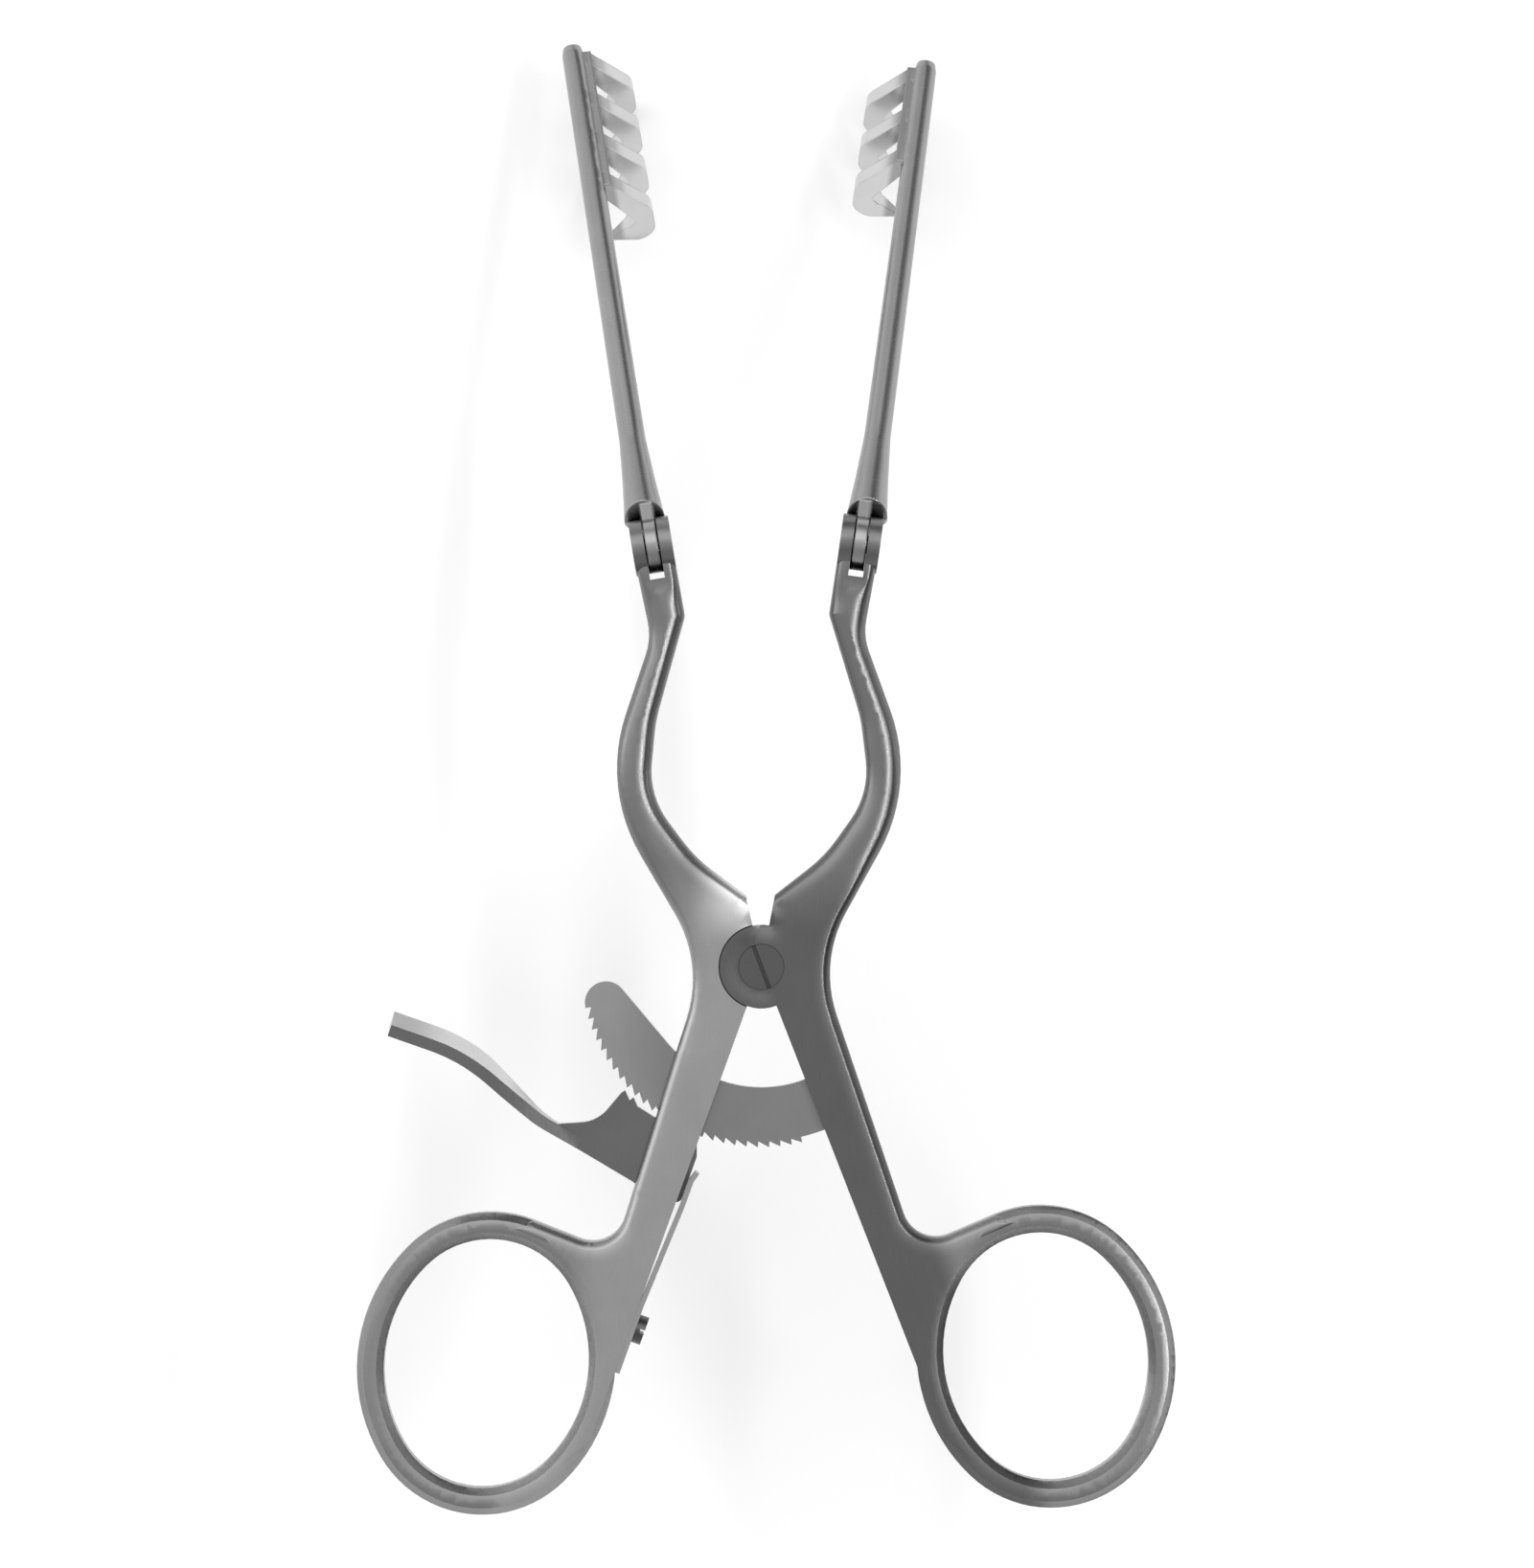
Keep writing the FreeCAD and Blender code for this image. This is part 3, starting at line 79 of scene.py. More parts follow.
picture_height = picture_height_px * mm_per_px * MM
camera_data = bpy.data.cameras.new("camera")
camera_data.sensor_fit = "VERTICAL"
camera_data.sensor_height = sensor_height_mm
camera_data.lens = sensor_height_mm * camera_height / picture_height
camera = bpy.data.objects.new("camera", camera_data)
camera.location = (*camera_over, handle_top + camera_height)
camera.rotation_euler = (0, 0, camera_roll)
bpy.context.scene.collection.objects.link(camera)
bpy.context.scene.camera = camera
bpy.context.scene.view_settings.view_transform = "Standard"


# The white table
# A matt white sheet that the retractor lies on, with its blade tips down, as in a catalogue picture.
def linear(hex_code):
    """An sRGB colour such as #a0b0c0 as linear red, green, blue and alpha."""
    shares = [int(hex_code[i:i + 2], 16) / 255 for i in (1, 3, 5)]
    return [s / 12.92 if s <= 0.04045 else ((s + 0.055) / 1.055) ** 2.4 for s in shares] + [1]


def add_node(tree, kind, settings=None, links=None, **values):
    """A node of that kind: settings go on the node, values on its inputs, links are input: socket."""
    node = tree.nodes.new(kind)
    for name, value in (settings or {}).items():
        setattr(node, name, value)
    for name, value in values.items():
        node.inputs[name.replace("_", " ")].default_value = value
    for name, socket in (links or {}).items():
        tree.links.new(socket, node.inputs[name])
    return node


def new_material(name):
    """A material of that name, with no nodes yet."""
    material = bpy.data.materials.new(name)
    material.use_nodes = True
    material.node_tree.nodes.clear()
    return material


paper_tone = "#f4f4f4"
paper_glow = 0.2


def matt_white_paper():
    """Smooth matt white paper: an even white with no gloss, and the soft shadow of what lies on it.
    What looks at it straight, or in a mirror, also sees a little of its own light, so it is white."""
    material = new_material("matt_white_paper")
    tree = material.node_tree
    coat = add_node(tree, "ShaderNodeBsdfDiffuse", Color=linear(paper_tone))
    path = add_node(tree, "ShaderNodeLightPath")
    mirror = add_node(tree, "ShaderNodeMath", {"operation": "ADD"})
    tree.links.new(path.outputs["Is Camera Ray"], mirror.inputs[0])
    tree.links.new(path.outputs["Is Glossy Ray"], mirror.inputs[1])
    seen = add_node(tree, "ShaderNodeMath", {"operation": "ADD"})
    tree.links.new(mirror.outputs[0], seen.inputs[0])
    tree.links.new(path.outputs["Is Transmission Ray"], seen.inputs[1])
    share = add_node(tree, "ShaderNodeMath", {"operation": "MULTIPLY"})
    tree.links.new(seen.outputs[0], share.inputs[0])
    share.inputs[1].default_value = paper_glow
    glow = add_node(tree, "ShaderNodeEmission", links={"Strength": share.outputs[0]})
    both = add_node(tree, "ShaderNodeAddShader")
    tree.links.new(coat.outputs[0], both.inputs[0])
    tree.links.new(glow.outputs[0], both.inputs[1])
    add_node(tree, "ShaderNodeOutputMaterial", links={"Surface": both.outputs[0]})
    return material


table_half_width = 3.0
table_gap = 0.2 * MM
table_level = cad_box[0].z - table_gap
table_mesh = bpy.data.meshes.new("table")
corners = [(x, y, table_level) for x, y in ((-1, -1), (1, -1), (1, 1), (-1, 1))]
corners = [(x * table_half_width, y * table_half_width, z) for x, y, z in corners]
table_mesh.from_pydata(corners, [], [(0, 1, 2, 3)])
table_mesh.materials.append(matt_white_paper())
table = bpy.data.objects.new("table", table_mesh)
bpy.context.scene.collection.objects.link(table)


# The studio light
# A light tent that is bright on the left and dim on the right, and brightest over the blades' end.
# Steel that faces up shows the roof of the tent, and each rounded edge shows one strip lamp as a line.
tent_strength = 2.6

# The tent's tones from its left wall over the roof to its right wall, each at its share of the way.
side_tones = (
    (0.00, "#ffffff"),
    (0.22, "#e8e8e8"),
    (0.42, "#d8d8d8"),
    (0.58, "#dcdcdc"),
    (0.68, "#828282"),
    (0.84, "#707070"),
    (1.00, "#e4e4e4"),
)

# The same from the wall at the rings' end to the wall at the blades' end. The two are multiplied.
end_tones = (
    (0.00, "#a8a8a8"),
    (0.32, "#909090"),
    (0.46, "#b4b4b4"),
    (0.54, "#c0c0c0"),
    (0.62, "#ffffff"),
    (0.76, "#f0f0f0"),
    (0.86, "#a0a0a0"),
    (1.00, "#b0b0b0"),
)
world = bpy.data.worlds.new("light_tent")
bpy.context.scene.world = world
world.use_nodes = True
tent = world.node_tree
tent.nodes.clear()
direction = add_node(tent, "ShaderNodeTexCoord")
parts = add_node(tent, "ShaderNodeSeparateXYZ", links={"Vector": direction.outputs["Generated"]})
walls = []
for across, tones in (("X", side_tones), ("Y", end_tones)):
    lean = add_node(tent, "ShaderNodeMath", {"operation": "ARCTAN2"})
    tent.links.new(parts.outputs[across], lean.inputs[0])
    tent.links.new(parts.outputs["Z"], lean.inputs[1])
    place = add_node(tent, "ShaderNodeMapRange", links={"Value": lean.outputs[0]},
                     From_Min=-math.pi / 2, From_Max=math.pi / 2)
    wall = add_node(tent, "ShaderNodeValToRGB", links={"Fac": place.outputs["Result"]})
    ramp = wall.color_ramp
    for end, (position, tone) in zip(ramp.elements, (tones[0], tones[-1])):
        end.position = position
        end.color = linear(tone)
    for position, tone in tones[1:-1]:
        ramp.elements.new(position).color = linear(tone)
    walls.append(wall.outputs["Color"])
cloth = add_node(tent, "ShaderNodeVectorMath", {"operation": "MULTIPLY"})
for wall, socket in zip(walls, cloth.inputs):
    tent.links.new(wall, socket)
glow = add_node(tent, "ShaderNodeBackground", links={"Color": cloth.outputs[0]}, Strength=tent_strength)
add_node(tent, "ShaderNodeOutputWorld", links={"Surface": glow.outputs[0]})

# The strip lamp hangs on the right, lies along the retractor and is tilted towards it.
lamp_place = Vector((300 * MM, 20 * MM, 520 * MM))
lamp_width = 40 * MM
lamp_length = 400 * MM
lamp_watts = 0.75
lamp = bpy.data.lights.new("strip_lamp", "AREA")
lamp.shape = "RECTANGLE"
lamp.size = lamp_width
lamp.size_y = lamp_length
lamp.energy = lamp_watts
strip_lamp = bpy.data.objects.new("strip_lamp", lamp)
strip_lamp.location = lamp_place
strip_lamp.rotation_euler = (0, math.atan2(lamp_place.x, lamp_place.z), 0)
bpy.context.scene.collection.objects.link(strip_lamp)


# The two arms
# Each is one drop-forged blank of stainless steel: shank, finger ring, half of the joint and the fork.
# It is ground, its bow and ring are rounded by hand on a belt, and it is brushed to a satin finish.
def painted_light_by_zone(tree, place, tone, zones):
    """The steel's tone, and another tone in each zone, with soft borders. The zones are painted reflections
    and
    highlights: steel that is brushed flat and steel that is rounded by hand mirror different parts of the
    studio, and the tones stand for that. A border of a zone is a turn about Z, an axis, and the places in
    mm where the zone's tone begins and where it is full."""
    colour = None
    for zone_tone, borders in zones:
        share = None
        for turn, axis, begin, full in borders:
            grid = add_node(tree, "ShaderNodeMapping", links={"Vector": place}, Rotation=(0, 0, turn))
            split = add_node(tree, "ShaderNodeSeparateXYZ", links={"Vector": grid.outputs["Vector"]})
            border = add_node(tree, "ShaderNodeMapRange", {"interpolation_type": "SMOOTHSTEP"},
                              {"Value": split.outputs[axis]}, From_Min=begin * MM, From_Max=full * MM)
            if share is None:
                share = border.outputs["Result"]
            else:
                both = add_node(tree, "ShaderNodeMath", {"operation": "MULTIPLY"})
                tree.links.new(share, both.inputs[0])
                tree.links.new(border.outputs["Result"], both.inputs[1])
                share = both.outputs[0]
        mix = add_node(tree, "ShaderNodeMixRGB", links={"Fac": share}, Color1=linear(tone),
                       Color2=linear(zone_tone))
        if colour is not None:
            tree.links.new(colour, mix.inputs["Color1"])
        colour = mix.outputs["Color"]
    return colour


def satin_stainless_steel(name, tone, roughness, grain_turn, zones=(), streak=30, dressed_edge=0):
    """Stainless steel brushed with a fine abrasive belt: fine lines run one way along the piece and
    blur what it mirrors. The real lines are about 0.02 mm apart; they are drawn coarser, so they show.
    Narrow gaps and crevices get painted shade: ambient occlusion darkens the colour there, where little
    light gets in."""
    material = new_material(name)
    tree = material.node_tree
    place = add_node(tree, "ShaderNodeTexCoord")
    turned = add_node(tree, "ShaderNodeMapping", links={"Vector": place.outputs["Object"]},
                      Rotation=(0, 0, grain_turn), Scale=(1, 1 / streak, 1))
    lines = add_node(tree, "ShaderNodeTexNoise", links={"Vector": turned.outputs["Vector"]},
                     Scale=1 / grain_spacing, Detail=2.0, Roughness=0.6)
    cloud = add_node(tree, "ShaderNodeTexNoise", links={"Vector": place.outputs["Object"]},
                     Scale=1 / cloud_size, Detail=3.0)
    polish = add_node(tree, "ShaderNodeMapRange", links={"Value": lines.outputs["Fac"]},
                      From_Min=noise_low, From_Max=noise_high,
                      To_Min=roughness - smoother_line, To_Max=roughness + rougher_line)
    tint = add_node(tree, "ShaderNodeMapRange", links={"Value": cloud.outputs["Fac"]},
                    From_Min=noise_low, From_Max=noise_high, To_Min=darker_cloud, To_Max=lighter_cloud)
    # Painted shade: the colour is darkened where ambient occlusion finds narrow gaps between parts.
    occlusion = add_node(tree, "ShaderNodeAmbientOcclusion", {"samples": 8}, Distance=painted_shade_reach)
    painted_gap_shade = add_node(tree, "ShaderNodeMapRange", links={"Value": occlusion.outputs["AO"]},
                     From_Min=painted_shade_closed, From_Max=painted_shade_open, To_Min=painted_shade_tone, To_Max=1.0)
    light = add_node(tree, "ShaderNodeMath", {"operation": "MULTIPLY"})
    tree.links.new(tint.outputs["Result"], light.inputs[0])
    tree.links.new(painted_gap_shade.outputs["Result"], light.inputs[1])
    shade = add_node(tree, "ShaderNodeVectorMath", {"operation": "SCALE"}, {"Scale": light.outputs[0]})
    # Zones, where given, paint reflections and highlights into the tone.
    if zones:
        tree.links.new(painted_light_by_zone(tree, place.outputs["Object"], tone, zones), shade.inputs[0])
    else:
        shade.inputs[0].default_value = linear(tone)[:3]
    relief = add_node(tree, "ShaderNodeBump", links={"Height": lines.outputs["Fac"]},
                      Strength=grain_strength, Distance=grain_depth)
    if dressed_edge:
        edge = add_node(tree, "ShaderNodeBevel", {"samples": 6}, Radius=dressed_edge)
        tree.links.new(edge.outputs["Normal"], relief.inputs["Normal"])
    steel = add_node(tree, "ShaderNodeBsdfPrincipled",
                     links={"Base Color": shade.outputs[0], "Roughness": polish.outputs["Result"],
                            "Normal": relief.outputs["Normal"]}, Metallic=1.0)
    add_node(tree, "ShaderNodeOutputMaterial", links={"Surface": steel.outputs[0]})
    return material


grain_spacing = 0.12 * MM
grain_depth = 0.003 * MM
grain_strength = 0.06
smoother_line = 0.03
rougher_line = 0.04
cloud_size = 5 * MM
darker_cloud = 0.95
lighter_cloud = 1.03
noise_low = 0.3
noise_high = 0.7
# How far the painted shade in narrow gaps reaches, and how dark it gets.
painted_shade_reach = 0.8 * MM
painted_shade_closed = 0.15
painted_shade_open = 0.6
painted_shade_tone = 0.12
join_reach = 0.0005 * MM


def joined_copy(node_name):
    """A copy of a CAD node's shell whose loose triangles share their corners."""
    shell = bmesh.new()
    shell.from_mesh(nodes[node_name].data)
    bmesh.ops.remove_doubles(shell, verts=shell.verts, dist=join_reach)
    return shell


same_flat = math.cos(math.radians(0.3))
soft_edge = math.cos(math.radians(38))


def corner_normals(shell):
    """The direction of the surface at each corner of each face. A flat keeps its own direction up to
    its edge, and a rounding turns smoothly from one flat to the next."""
    flats = {}
    for seed in sorted(shell.faces, key=lambda face: -face.calc_area()):
        if seed in flats:
            continue
        flat = [Vector(seed.normal), 0.0]
        flats[seed] = flat
        front = [seed]
        while front:
            face = front.pop()
            flat[1] += face.calc_area()
            for edge in face.edges:
                for near in edge.link_faces:
                    if near not in flats and near.normal.dot(flat[0]) > same_flat:
                        flats[near] = flat
                        front.append(near)
    found = []
    for face in shell.faces:
        own = flats[face][0]
        for corner in face.verts:
            around = {id(flats[near]): flats[near] for near in corner.link_faces}
            normal = Vector()
            for direction, area in around.values():
                if direction.dot(own) > soft_edge:
                    normal += direction * area
            found.append(normal.normalized() if normal.length > 0 else own)
    return found


def finished_piece(shell, name, node_name, body, material, normals=None):
    """Turn the shell into a smooth shaded piece that stands for the CAD node and rides on its body.
    With no body it is left to the caller to say what the piece moves with."""
    normals = normals or corner_normals(shell)
    mesh = bpy.data.meshes.new(name)
    shell.to_mesh(mesh)
    shell.free()
    mesh.shade_smooth()
    mesh.normals_split_custom_set(normals)
    mesh.materials.append(material)
    piece = bpy.data.objects.new(name, mesh)
    bpy.context.scene.collection.objects.link(piece)
    nodes[node_name].data.materials.clear()
    nodes[node_name].data.materials.append(material)
    if body:
        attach(piece, body)
    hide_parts(node_name)
    return piece


def ease(share):
    """The share held between 0 and 1, with a smooth start and end."""
    share = max(0.0, min(1.0, share))
    return share * share * (3 - 2 * share)


def cut_in_strips(shell, direction, begin, end, step):
    """Cut all faces across the direction, so that the shell can bend there."""
    for index in range(int((end - begin) / step) + 1):
        bmesh.ops.bisect_plane(shell, geom=[*shell.verts, *shell.edges, *shell.faces],
                               plane_co=direction * (begin + step * index), plane_no=direction)
    bmesh.ops.triangulate(shell, faces=shell.faces)


mid_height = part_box("left_arm")[1].z / 2
shank_lean = math.radians(20.6)
bow_start = 7 * MM
bow_full = 13 * MM
bow_end = 38.5 * MM
bow_fade = 3.5 * MM
ring_top = -22 * MM
ring_side = 7.5 * MM
crown_width = 2.1 * MM
bow_crown = 0.4
edge_crown = 0.2
bore_reach = 2.2 * MM
crown_grid = 0.6 * MM
small_step = 0.02 * MM
upright = 0.05
turned_out = 0.35


def crowned_arm(node_name, side):
    """The arm's shell, and its normals, with the crowned section that the belt leaves: on both edges of
    the bow and the ring, and along the outer edge of the shank. The shank's inner edge stays flat."""
    shell = joined_copy(node_name)
    low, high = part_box(node_name)
    cut_in_strips(shell, Vector((1, 0, 0)), low.x + crown_grid, high.x - crown_grid, crown_grid)
    cut_in_strips(shell, Vector((0, 1, 0)), low.y + crown_grid, bow_end + bow_fade, crown_grid)
    normals = corner_normals(shell)
    outwards = Vector((side * math.cos(shank_lean), math.sin(shank_lean), 0))
    walls = []
    bores = [sum(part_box(pin), Vector()) / 2 for pin in ("pivot_screw", "lever_pin", "ratchet_bar_rivet")]
    for face in shell.faces:
        centre = face.calc_center_median()
        if min((centre - bore).xy.length for bore in bores) < bore_reach:
            continue
        on_bow = centre.y > bow_start
        on_ring = centre.y < ring_top and centre.dot(outwards) > ring_side
        on_outer_edge = face.normal.dot(outwards) > turned_out
        if abs(face.normal.z) < upright and (on_bow or on_ring or on_outer_edge):
            walls.append([tuple(vert.co) for vert in face.verts])
    points = [place for wall in walls for place in wall]
    tree = BVHTree.FromPolygons(points, [range(3 * i, 3 * i + 3) for i in range(len(walls))])

    def share_left(x, y):
        """The share of the arm's half height that the belt leaves at that place."""
        on_bow = ease((y - bow_start) / (bow_full - bow_start))
        crown = edge_crown + (bow_crown - edge_crown) * on_bow
        crown *= ease((bow_end + bow_fade - y) / bow_fade)
        slack = max(0.0, 1 - tree.find_nearest((x, y, mid_height))[3] / crown_width)
        return 1 - crown * slack * slack

    shares = []
    for vert in shell.verts:
        x, y = vert.co.x, vert.co.y
        here = share_left(x, y)
        right = (share_left(x + small_step, y) - here) / small_step
        ahead = (share_left(x, y + small_step) - here) / small_step
        shares.append((here, right, ahead))
    turned = []
    for face in shell.faces:
        for vert in face.verts:
            share, right, ahead = shares[vert.index]
            normal = normals[len(turned)]
            lift = (vert.co.z - mid_height) * normal.z / share
            turned.append(Vector((normal.x - lift * right, normal.y - lift * ahead,
                                  normal.z / share)).normalized())
    for vert in shell.verts:
        vert.co.z = mid_height + (vert.co.z - mid_height) * shares[vert.index][0]
    return shell, turned


# Each arm's node, side and body, then the tones of its shank, its ring and its bow. These tones are painted
# reflection:
# the left shank is painted light and the right one dark, and ring and bow get their own tones. The grain of
# the two shanks runs two ways. Borders are in mm.
arm_roughness = 0.27
# Where the painted reflections of the ring and the bow begin and where they are full, in mm.
ring_side_border = (5.5, 9)
ring_top_border = (-22, -28)
bow_border = (3, 12)
# A painted highlight: a light patch on the left arm above the pivot screw, where its surface faces the
# light.
painted_highlight_above_screw = ("#d4d4d4", [(0, "X", -8, -2.5), (0, "Y", 2, 7), (0, "Y", 15, 8)])
arms = (
    ("left_arm", -1, "left_side", "#9c9c9c", "#8e8e8e", "#7e7e7e", [painted_highlight_above_screw]),
    ("right_arm", 1, "right_side", "#626262", "#8a8a8a", "#767676", []),
)
arm_steels = {}
for node_name, side, body, shank_steel_and_painted_reflection, ring_painted_reflection, bow_painted_reflection, painted_highlights in arms:
    ring_begin, ring_full = (side * border for border in ring_side_border)
    zones = [
        (ring_painted_reflection, [(-side * shank_lean, "X", ring_begin, ring_full), (0, "Y", *ring_top_border)]),
        (bow_painted_reflection, [(0, "Y", *bow_border)]),
        *painted_highlights,
    ]
    arm_steels[body] = satin_stainless_steel(f"satin_steel_of_the_{node_name}", shank_steel_and_painted_reflection,
                                             arm_roughness, -side * shank_lean, zones)
    shell, normals = crowned_arm(node_name, side)
    finished_piece(shell, f"{node_name}_forged", node_name, body, arm_steels[body], normals)


# The pins and the pivot screw
# Turned from stainless bar. The pins are ground flush and brushed with the arm, so they hardly show.
# The screw has a milled slot, and holds the two halves of the joint together.
for node_name, body in (("left_hinge_pin", "left_side"), ("lever_pin", "left_side"),
                        ("ratchet_bar_rivet", "right_side"), ("right_hinge_pin", "right_side")):
    finished_piece(joined_copy(node_name), f"{node_name}_turned", node_name, body, arm_steels[body])

# A turned head isn't brushed: its grain runs no one way, and it looks duller and darker than the arm.
screw_tone = "#5c5c5c"
screw_roughness = 0.3
turned_steel = satin_stainless_steel("turned_steel_of_the_screws", screw_tone, screw_roughness, 0, streak=1)
finished_piece(joined_copy("pivot_screw"), "pivot_screw_turned", "pivot_screw", "left_side", turned_steel)


# The blades
# Each is one forging of stainless steel: a tongue that turns on the pin in its arm's fork, a round bar,
# and a row of prongs that is dressed by hand. The tongue is a little wider towards the back, and the belt
# has broken the edges. The prongs get a lighter tone than the bar: painted light on their lit faces. Their
# borders are in mm.
blade_lean = math.radians(8.5)
blade_tone = "#9c9c9c"
prong_painted_light_tone = "#cccccc"
blade_roughness = 0.24
broken_edge = 0.3 * MM
prong_side_border = (1.6, 2.4)
prong_end_border = (80, 82)
tongue_half = 0.65 * MM
tongue_slack = 0.05 * MM
tongue_length = 3.2 * MM
tongue_draft = 0.12 * MM
for node_name, side in (("left_blade", -1), ("right_blade", 1)):
    pin_low, pin_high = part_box(f"{node_name.split('_')[0]}_hinge_pin")
    pin_place = (pin_low + pin_high) / 2
    along = Vector((side * math.sin(blade_lean), math.cos(blade_lean), 0))
    across = Vector((math.cos(blade_lean), -side * math.sin(blade_lean), 0))
    bar_line = pin_place.dot(across) / MM
    prong_begin, prong_full = (bar_line - side * border for border in prong_side_border)
    zones = [(prong_painted_light_tone, [(side * blade_lean, "X", prong_begin, prong_full),
                           (0, "Y", *prong_end_border)])]
    blade_steel = satin_stainless_steel(f"satin_steel_of_the_{node_name}", blade_tone, blade_roughness, 0,
                                        zones, dressed_edge=broken_edge)
    shell = joined_copy(node_name)
    normals = corner_normals(shell)
    for vert in shell.verts:
        offset = (vert.co - pin_place).dot(across)
        on_tongue = (vert.co - pin_place).dot(along) < tongue_length
        on_side = abs(abs(offset) - tongue_half) < tongue_slack
        if on_tongue and on_side and vert.co.z < mid_height:
            vert.co += across * math.copysign(tongue_draft, offset)
    finished_piece(shell, f"{node_name}_forged", node_name, node_name, blade_steel, normals)


# The rack
# A curved bar with saw teeth that the lever's teeth catch, so that the handles stay where they are.
# It is stamped from stainless sheet and riveted into the right shank; its free end gets a lighter tone, a
# painted reflection.
rack_tone = "#828282"
rack_roughness = 0.3
rack_grain = math.radians(-40)
rack_free_end_painted_reflection = ("#969696", [(0, "X", -9, -17)])
rack_steel = satin_stainless_steel("satin_steel_of_the_rack", rack_tone, rack_roughness, rack_grain,
                                   [rack_free_end_painted_reflection])
finished_piece(joined_copy("ratchet_bar"), "ratchet_bar_stamped", "ratchet_bar", "right_side", rack_steel)


# The release lever
# One piece of stainless sheet: the toothed plate turns on its pin in the left shank's slot, and the thumb
# strip is bent from it. The strip is twisted a little, so that its upper side meets the thumb. That side
# gets painted light: a lighter tone, with a brighter painted highlight along its middle.
lever_tone = "#6c6c6c"
lever_roughness = 0.28
lever_grain = math.radians(60)
thumb_painted_light_tone = "#b0b0b0"
thumb_roughness = 0.24
thumb_painted_highlight = ("#ececec", [(0, "X", -24, -28), (0, "X", -38, -33)])
faces_thumb = 0.3
lever_steel = satin_stainless_steel("satin_steel_of_the_lever", lever_tone, lever_roughness, lever_grain)
lever_shell = joined_copy("release_lever")
twist_start = -21 * MM
twist_full = -31 * MM
twist = math.tan(math.radians(14))
for vert in lever_shell.verts:
    weight = ease((twist_start - vert.co.x) / (twist_start - twist_full))
    vert.co.y -= (vert.co.z - mid_height) * twist * weight
lever_normals = corner_normals(lever_shell)
# Faces of the thumb strip that turn towards +Y get the painted light.
thumb_lit_faces = [face.normal.y > faces_thumb and face.calc_center_median().x < twist_start
              for face in lever_shell.faces]
lever_piece = finished_piece(lever_shell, "release_lever_bent", "release_lever", "release_lever",
                             lever_steel, lever_normals)
thumb_painted_light_steel = satin_stainless_steel("steel_with_painted_light_on_the_thumb_side", thumb_painted_light_tone, thumb_roughness,
                                    lever_grain, [thumb_painted_highlight])
lever_piece.data.materials.append(thumb_painted_light_steel)
for face, bright in zip(lever_piece.data.polygons, thumb_lit_faces):
    face.material_index = 1 if bright else 0


# The leaf spring and its screw
# Cold-rolled spring strip, cut to length and bent at three places, then screwed to the shank.
# Its free end lies on the lever's tail.
def swept_strip_tree():
    """Geometry Nodes that sweep a flat strip's section along a bent line."""
    tree = bpy.data.node_groups.new("swept_strip", "GeometryNodeTree")
    sockets = tree.interface
    sockets.new_socket("Line", in_out="INPUT", socket_type="NodeSocketGeometry")
    for name in ("Strip Width", "Strip Thickness"):
        sockets.new_socket(name, in_out="INPUT", socket_type="NodeSocketFloat")
    sockets.new_socket("Cuts", in_out="INPUT", socket_type="NodeSocketInt")
    sockets.new_socket("Steel", in_out="INPUT", socket_type="NodeSocketMaterial")
    sockets.new_socket("Strip", in_out="OUTPUT", socket_type="NodeSocketGeometry")
    given = tree.nodes.new("NodeGroupInput").outputs
    line = add_node(tree, "GeometryNodeMeshToCurve", links={"Mesh": given["Line"]})
    cut = add_node(tree, "GeometryNodeSubdivideCurve", links={"Curve": line.outputs[0],
                                                              "Cuts": given["Cuts"]})
    upright = add_node(tree, "GeometryNodeSetCurveNormal", {"mode": "Z_UP"},
                       {"Curve": cut.outputs[0]})
    section = add_node(tree, "GeometryNodeCurvePrimitiveQuadrilateral", {"mode": "RECTANGLE"},
                       {"Width": given["Strip Thickness"], "Height": given["Strip Width"]})
    swept = add_node(tree, "GeometryNodeCurveToMesh",
                     links={"Curve": upright.outputs[0], "Profile Curve": section.outputs[0]},
                     Fill_Caps=True)
    real = add_node(tree, "GeometryNodeRealizeInstances", links={"Geometry": swept.outputs[0]})
    steel = add_node(tree, "GeometryNodeSetMaterial",
                     links={"Geometry": real.outputs[0], "Material": given["Steel"]})
    add_node(tree, "NodeGroupOutput", links={"Strip": steel.outputs[0]})
    return tree


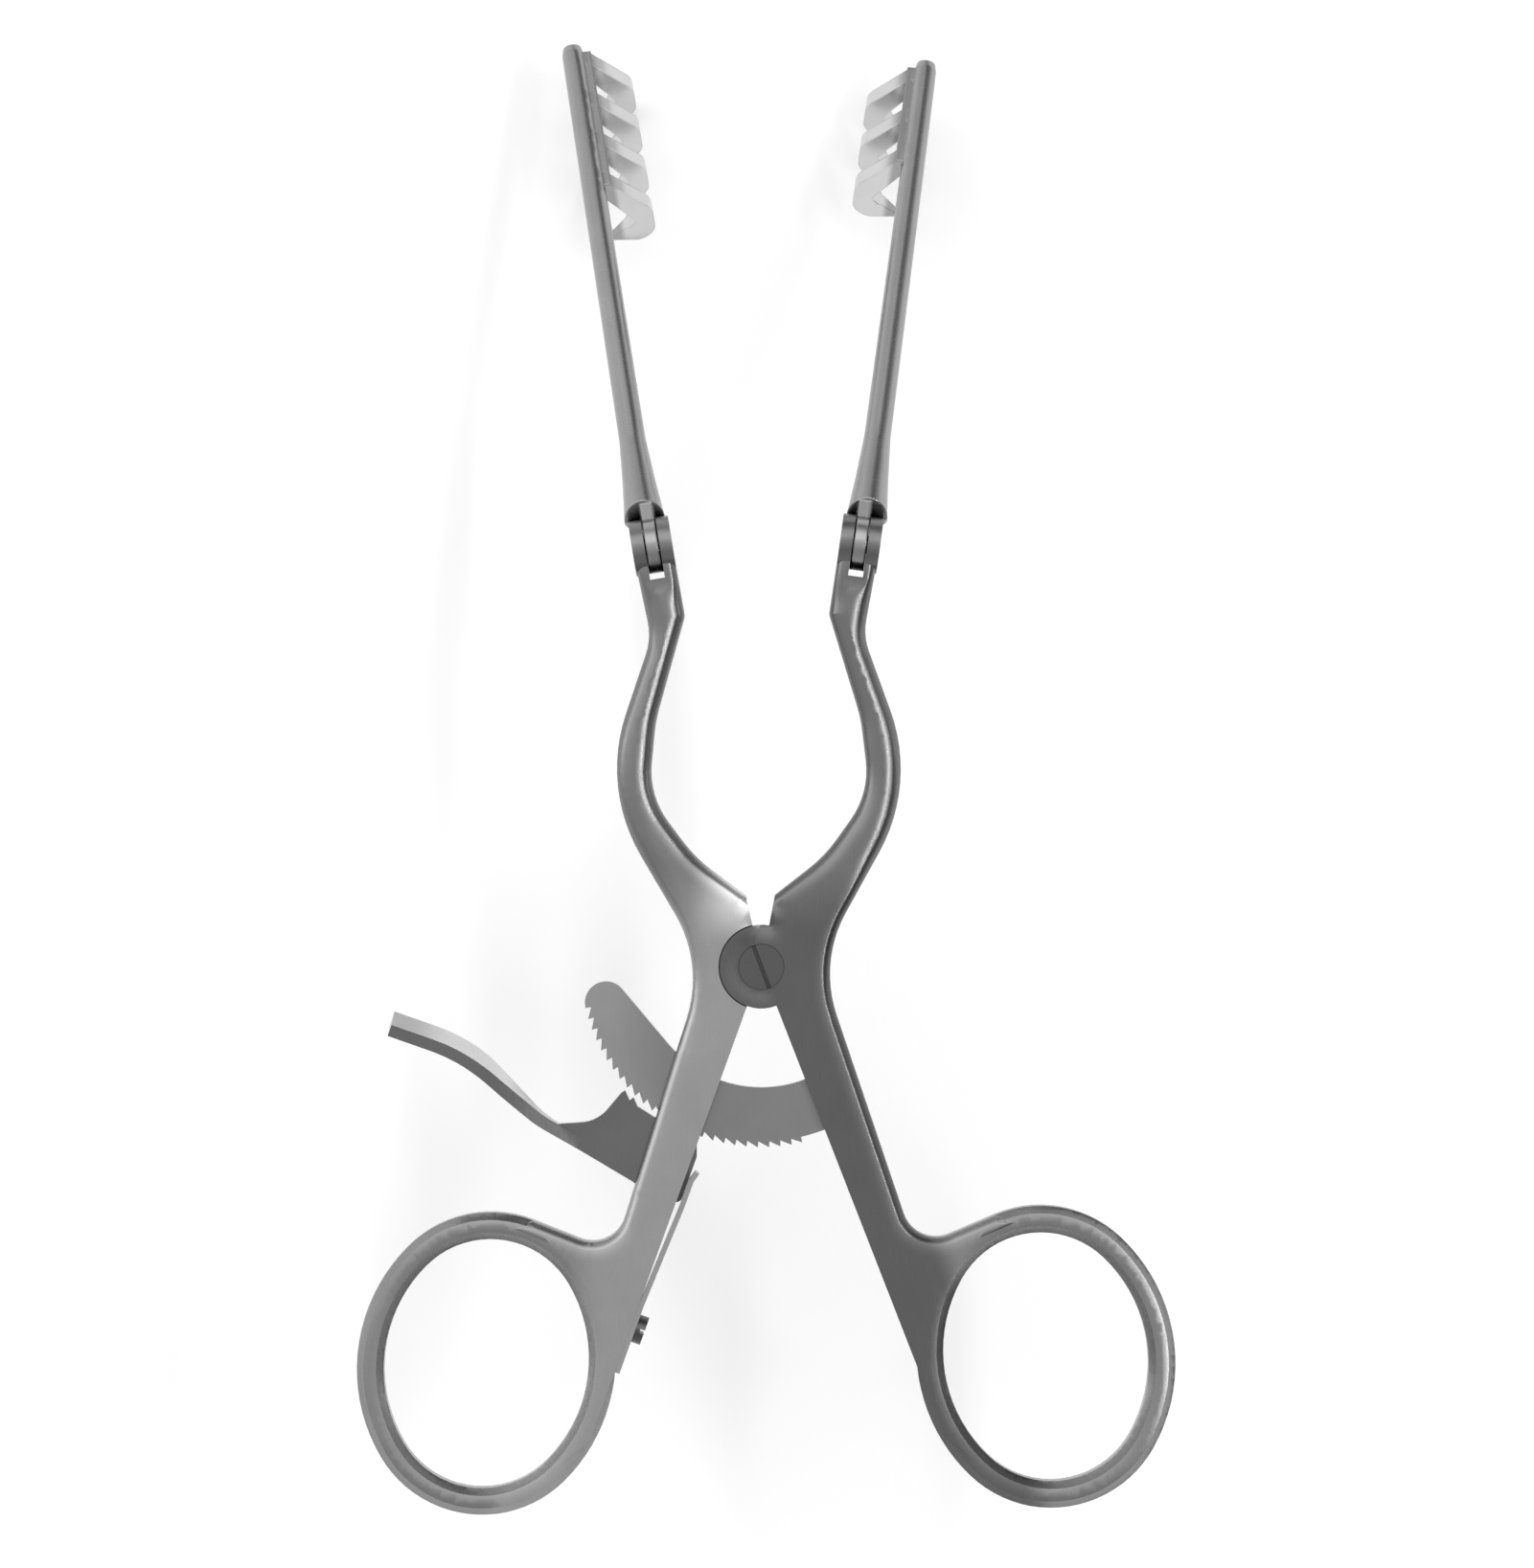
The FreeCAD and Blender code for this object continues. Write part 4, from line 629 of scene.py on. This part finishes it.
def shank_place(out, along):
    """A place in the left shank's grid: out from its inner edge, and along it from the pivot."""
    return Vector((-out * math.cos(shank_lean) - along * math.sin(shank_lean),
                   out * math.sin(shank_lean) - along * math.cos(shank_lean), mid_height))


# Rolled strip is a little smoother than the brushed shank that it lies on.
spring_tone = "#9e9e9e"
spring_roughness = 0.26
spring_steel = satin_stainless_steel("rolled_spring_steel", spring_tone, spring_roughness, shank_lean)
spring_low, spring_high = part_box("leaf_spring")
spring_thickness = 0.55 * MM
strip_cuts = 8

# The middle of the strip from its screwed end to its free end: mm out from the shank's inner edge, and
# mm along the shank from the pivot.
strip_line = [(-0.275, 45.98), (-0.275, 38.28), (-0.755, 26.99), (-0.755, 23.99), (-1.055, 22.99)]
strip_mesh = bpy.data.meshes.new("leaf_spring_line")
strip_mesh.from_pydata([shank_place(out * MM, along * MM) for out, along in strip_line],
                       [(i, i + 1) for i in range(len(strip_line) - 1)], [])
strip_maker = bpy.data.objects.new("leaf_spring_line", strip_mesh)
bpy.context.scene.collection.objects.link(strip_maker)
sweep = strip_maker.modifiers.new("sweep", "NODES")
sweep.node_group = swept_strip_tree()
strip_values = {"Strip Width": spring_high.z - spring_low.z, "Strip Thickness": spring_thickness,
                "Cuts": strip_cuts, "Steel": spring_steel}
for item in sweep.node_group.interface.items_tree:
    if item.in_out == "INPUT" and item.name in strip_values:
        sweep[item.identifier] = strip_values[item.name]
bpy.context.view_layer.update()
seen = strip_maker.evaluated_get(bpy.context.evaluated_depsgraph_get())
swept_strip = bpy.data.meshes.new_from_object(seen)
strip_maker.modifiers.clear()
bpy.data.objects.remove(strip_maker)
strip_shell = bmesh.new()
strip_shell.from_mesh(swept_strip)
bmesh.ops.recalc_face_normals(strip_shell, faces=strip_shell.faces)
strip_piece = finished_piece(strip_shell, "leaf_spring_strip", "leaf_spring", None, spring_steel)
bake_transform(strip_piece)
finished_piece(joined_copy("spring_screw"), "spring_screw_turned", "spring_screw", "left_side",
               turned_steel)
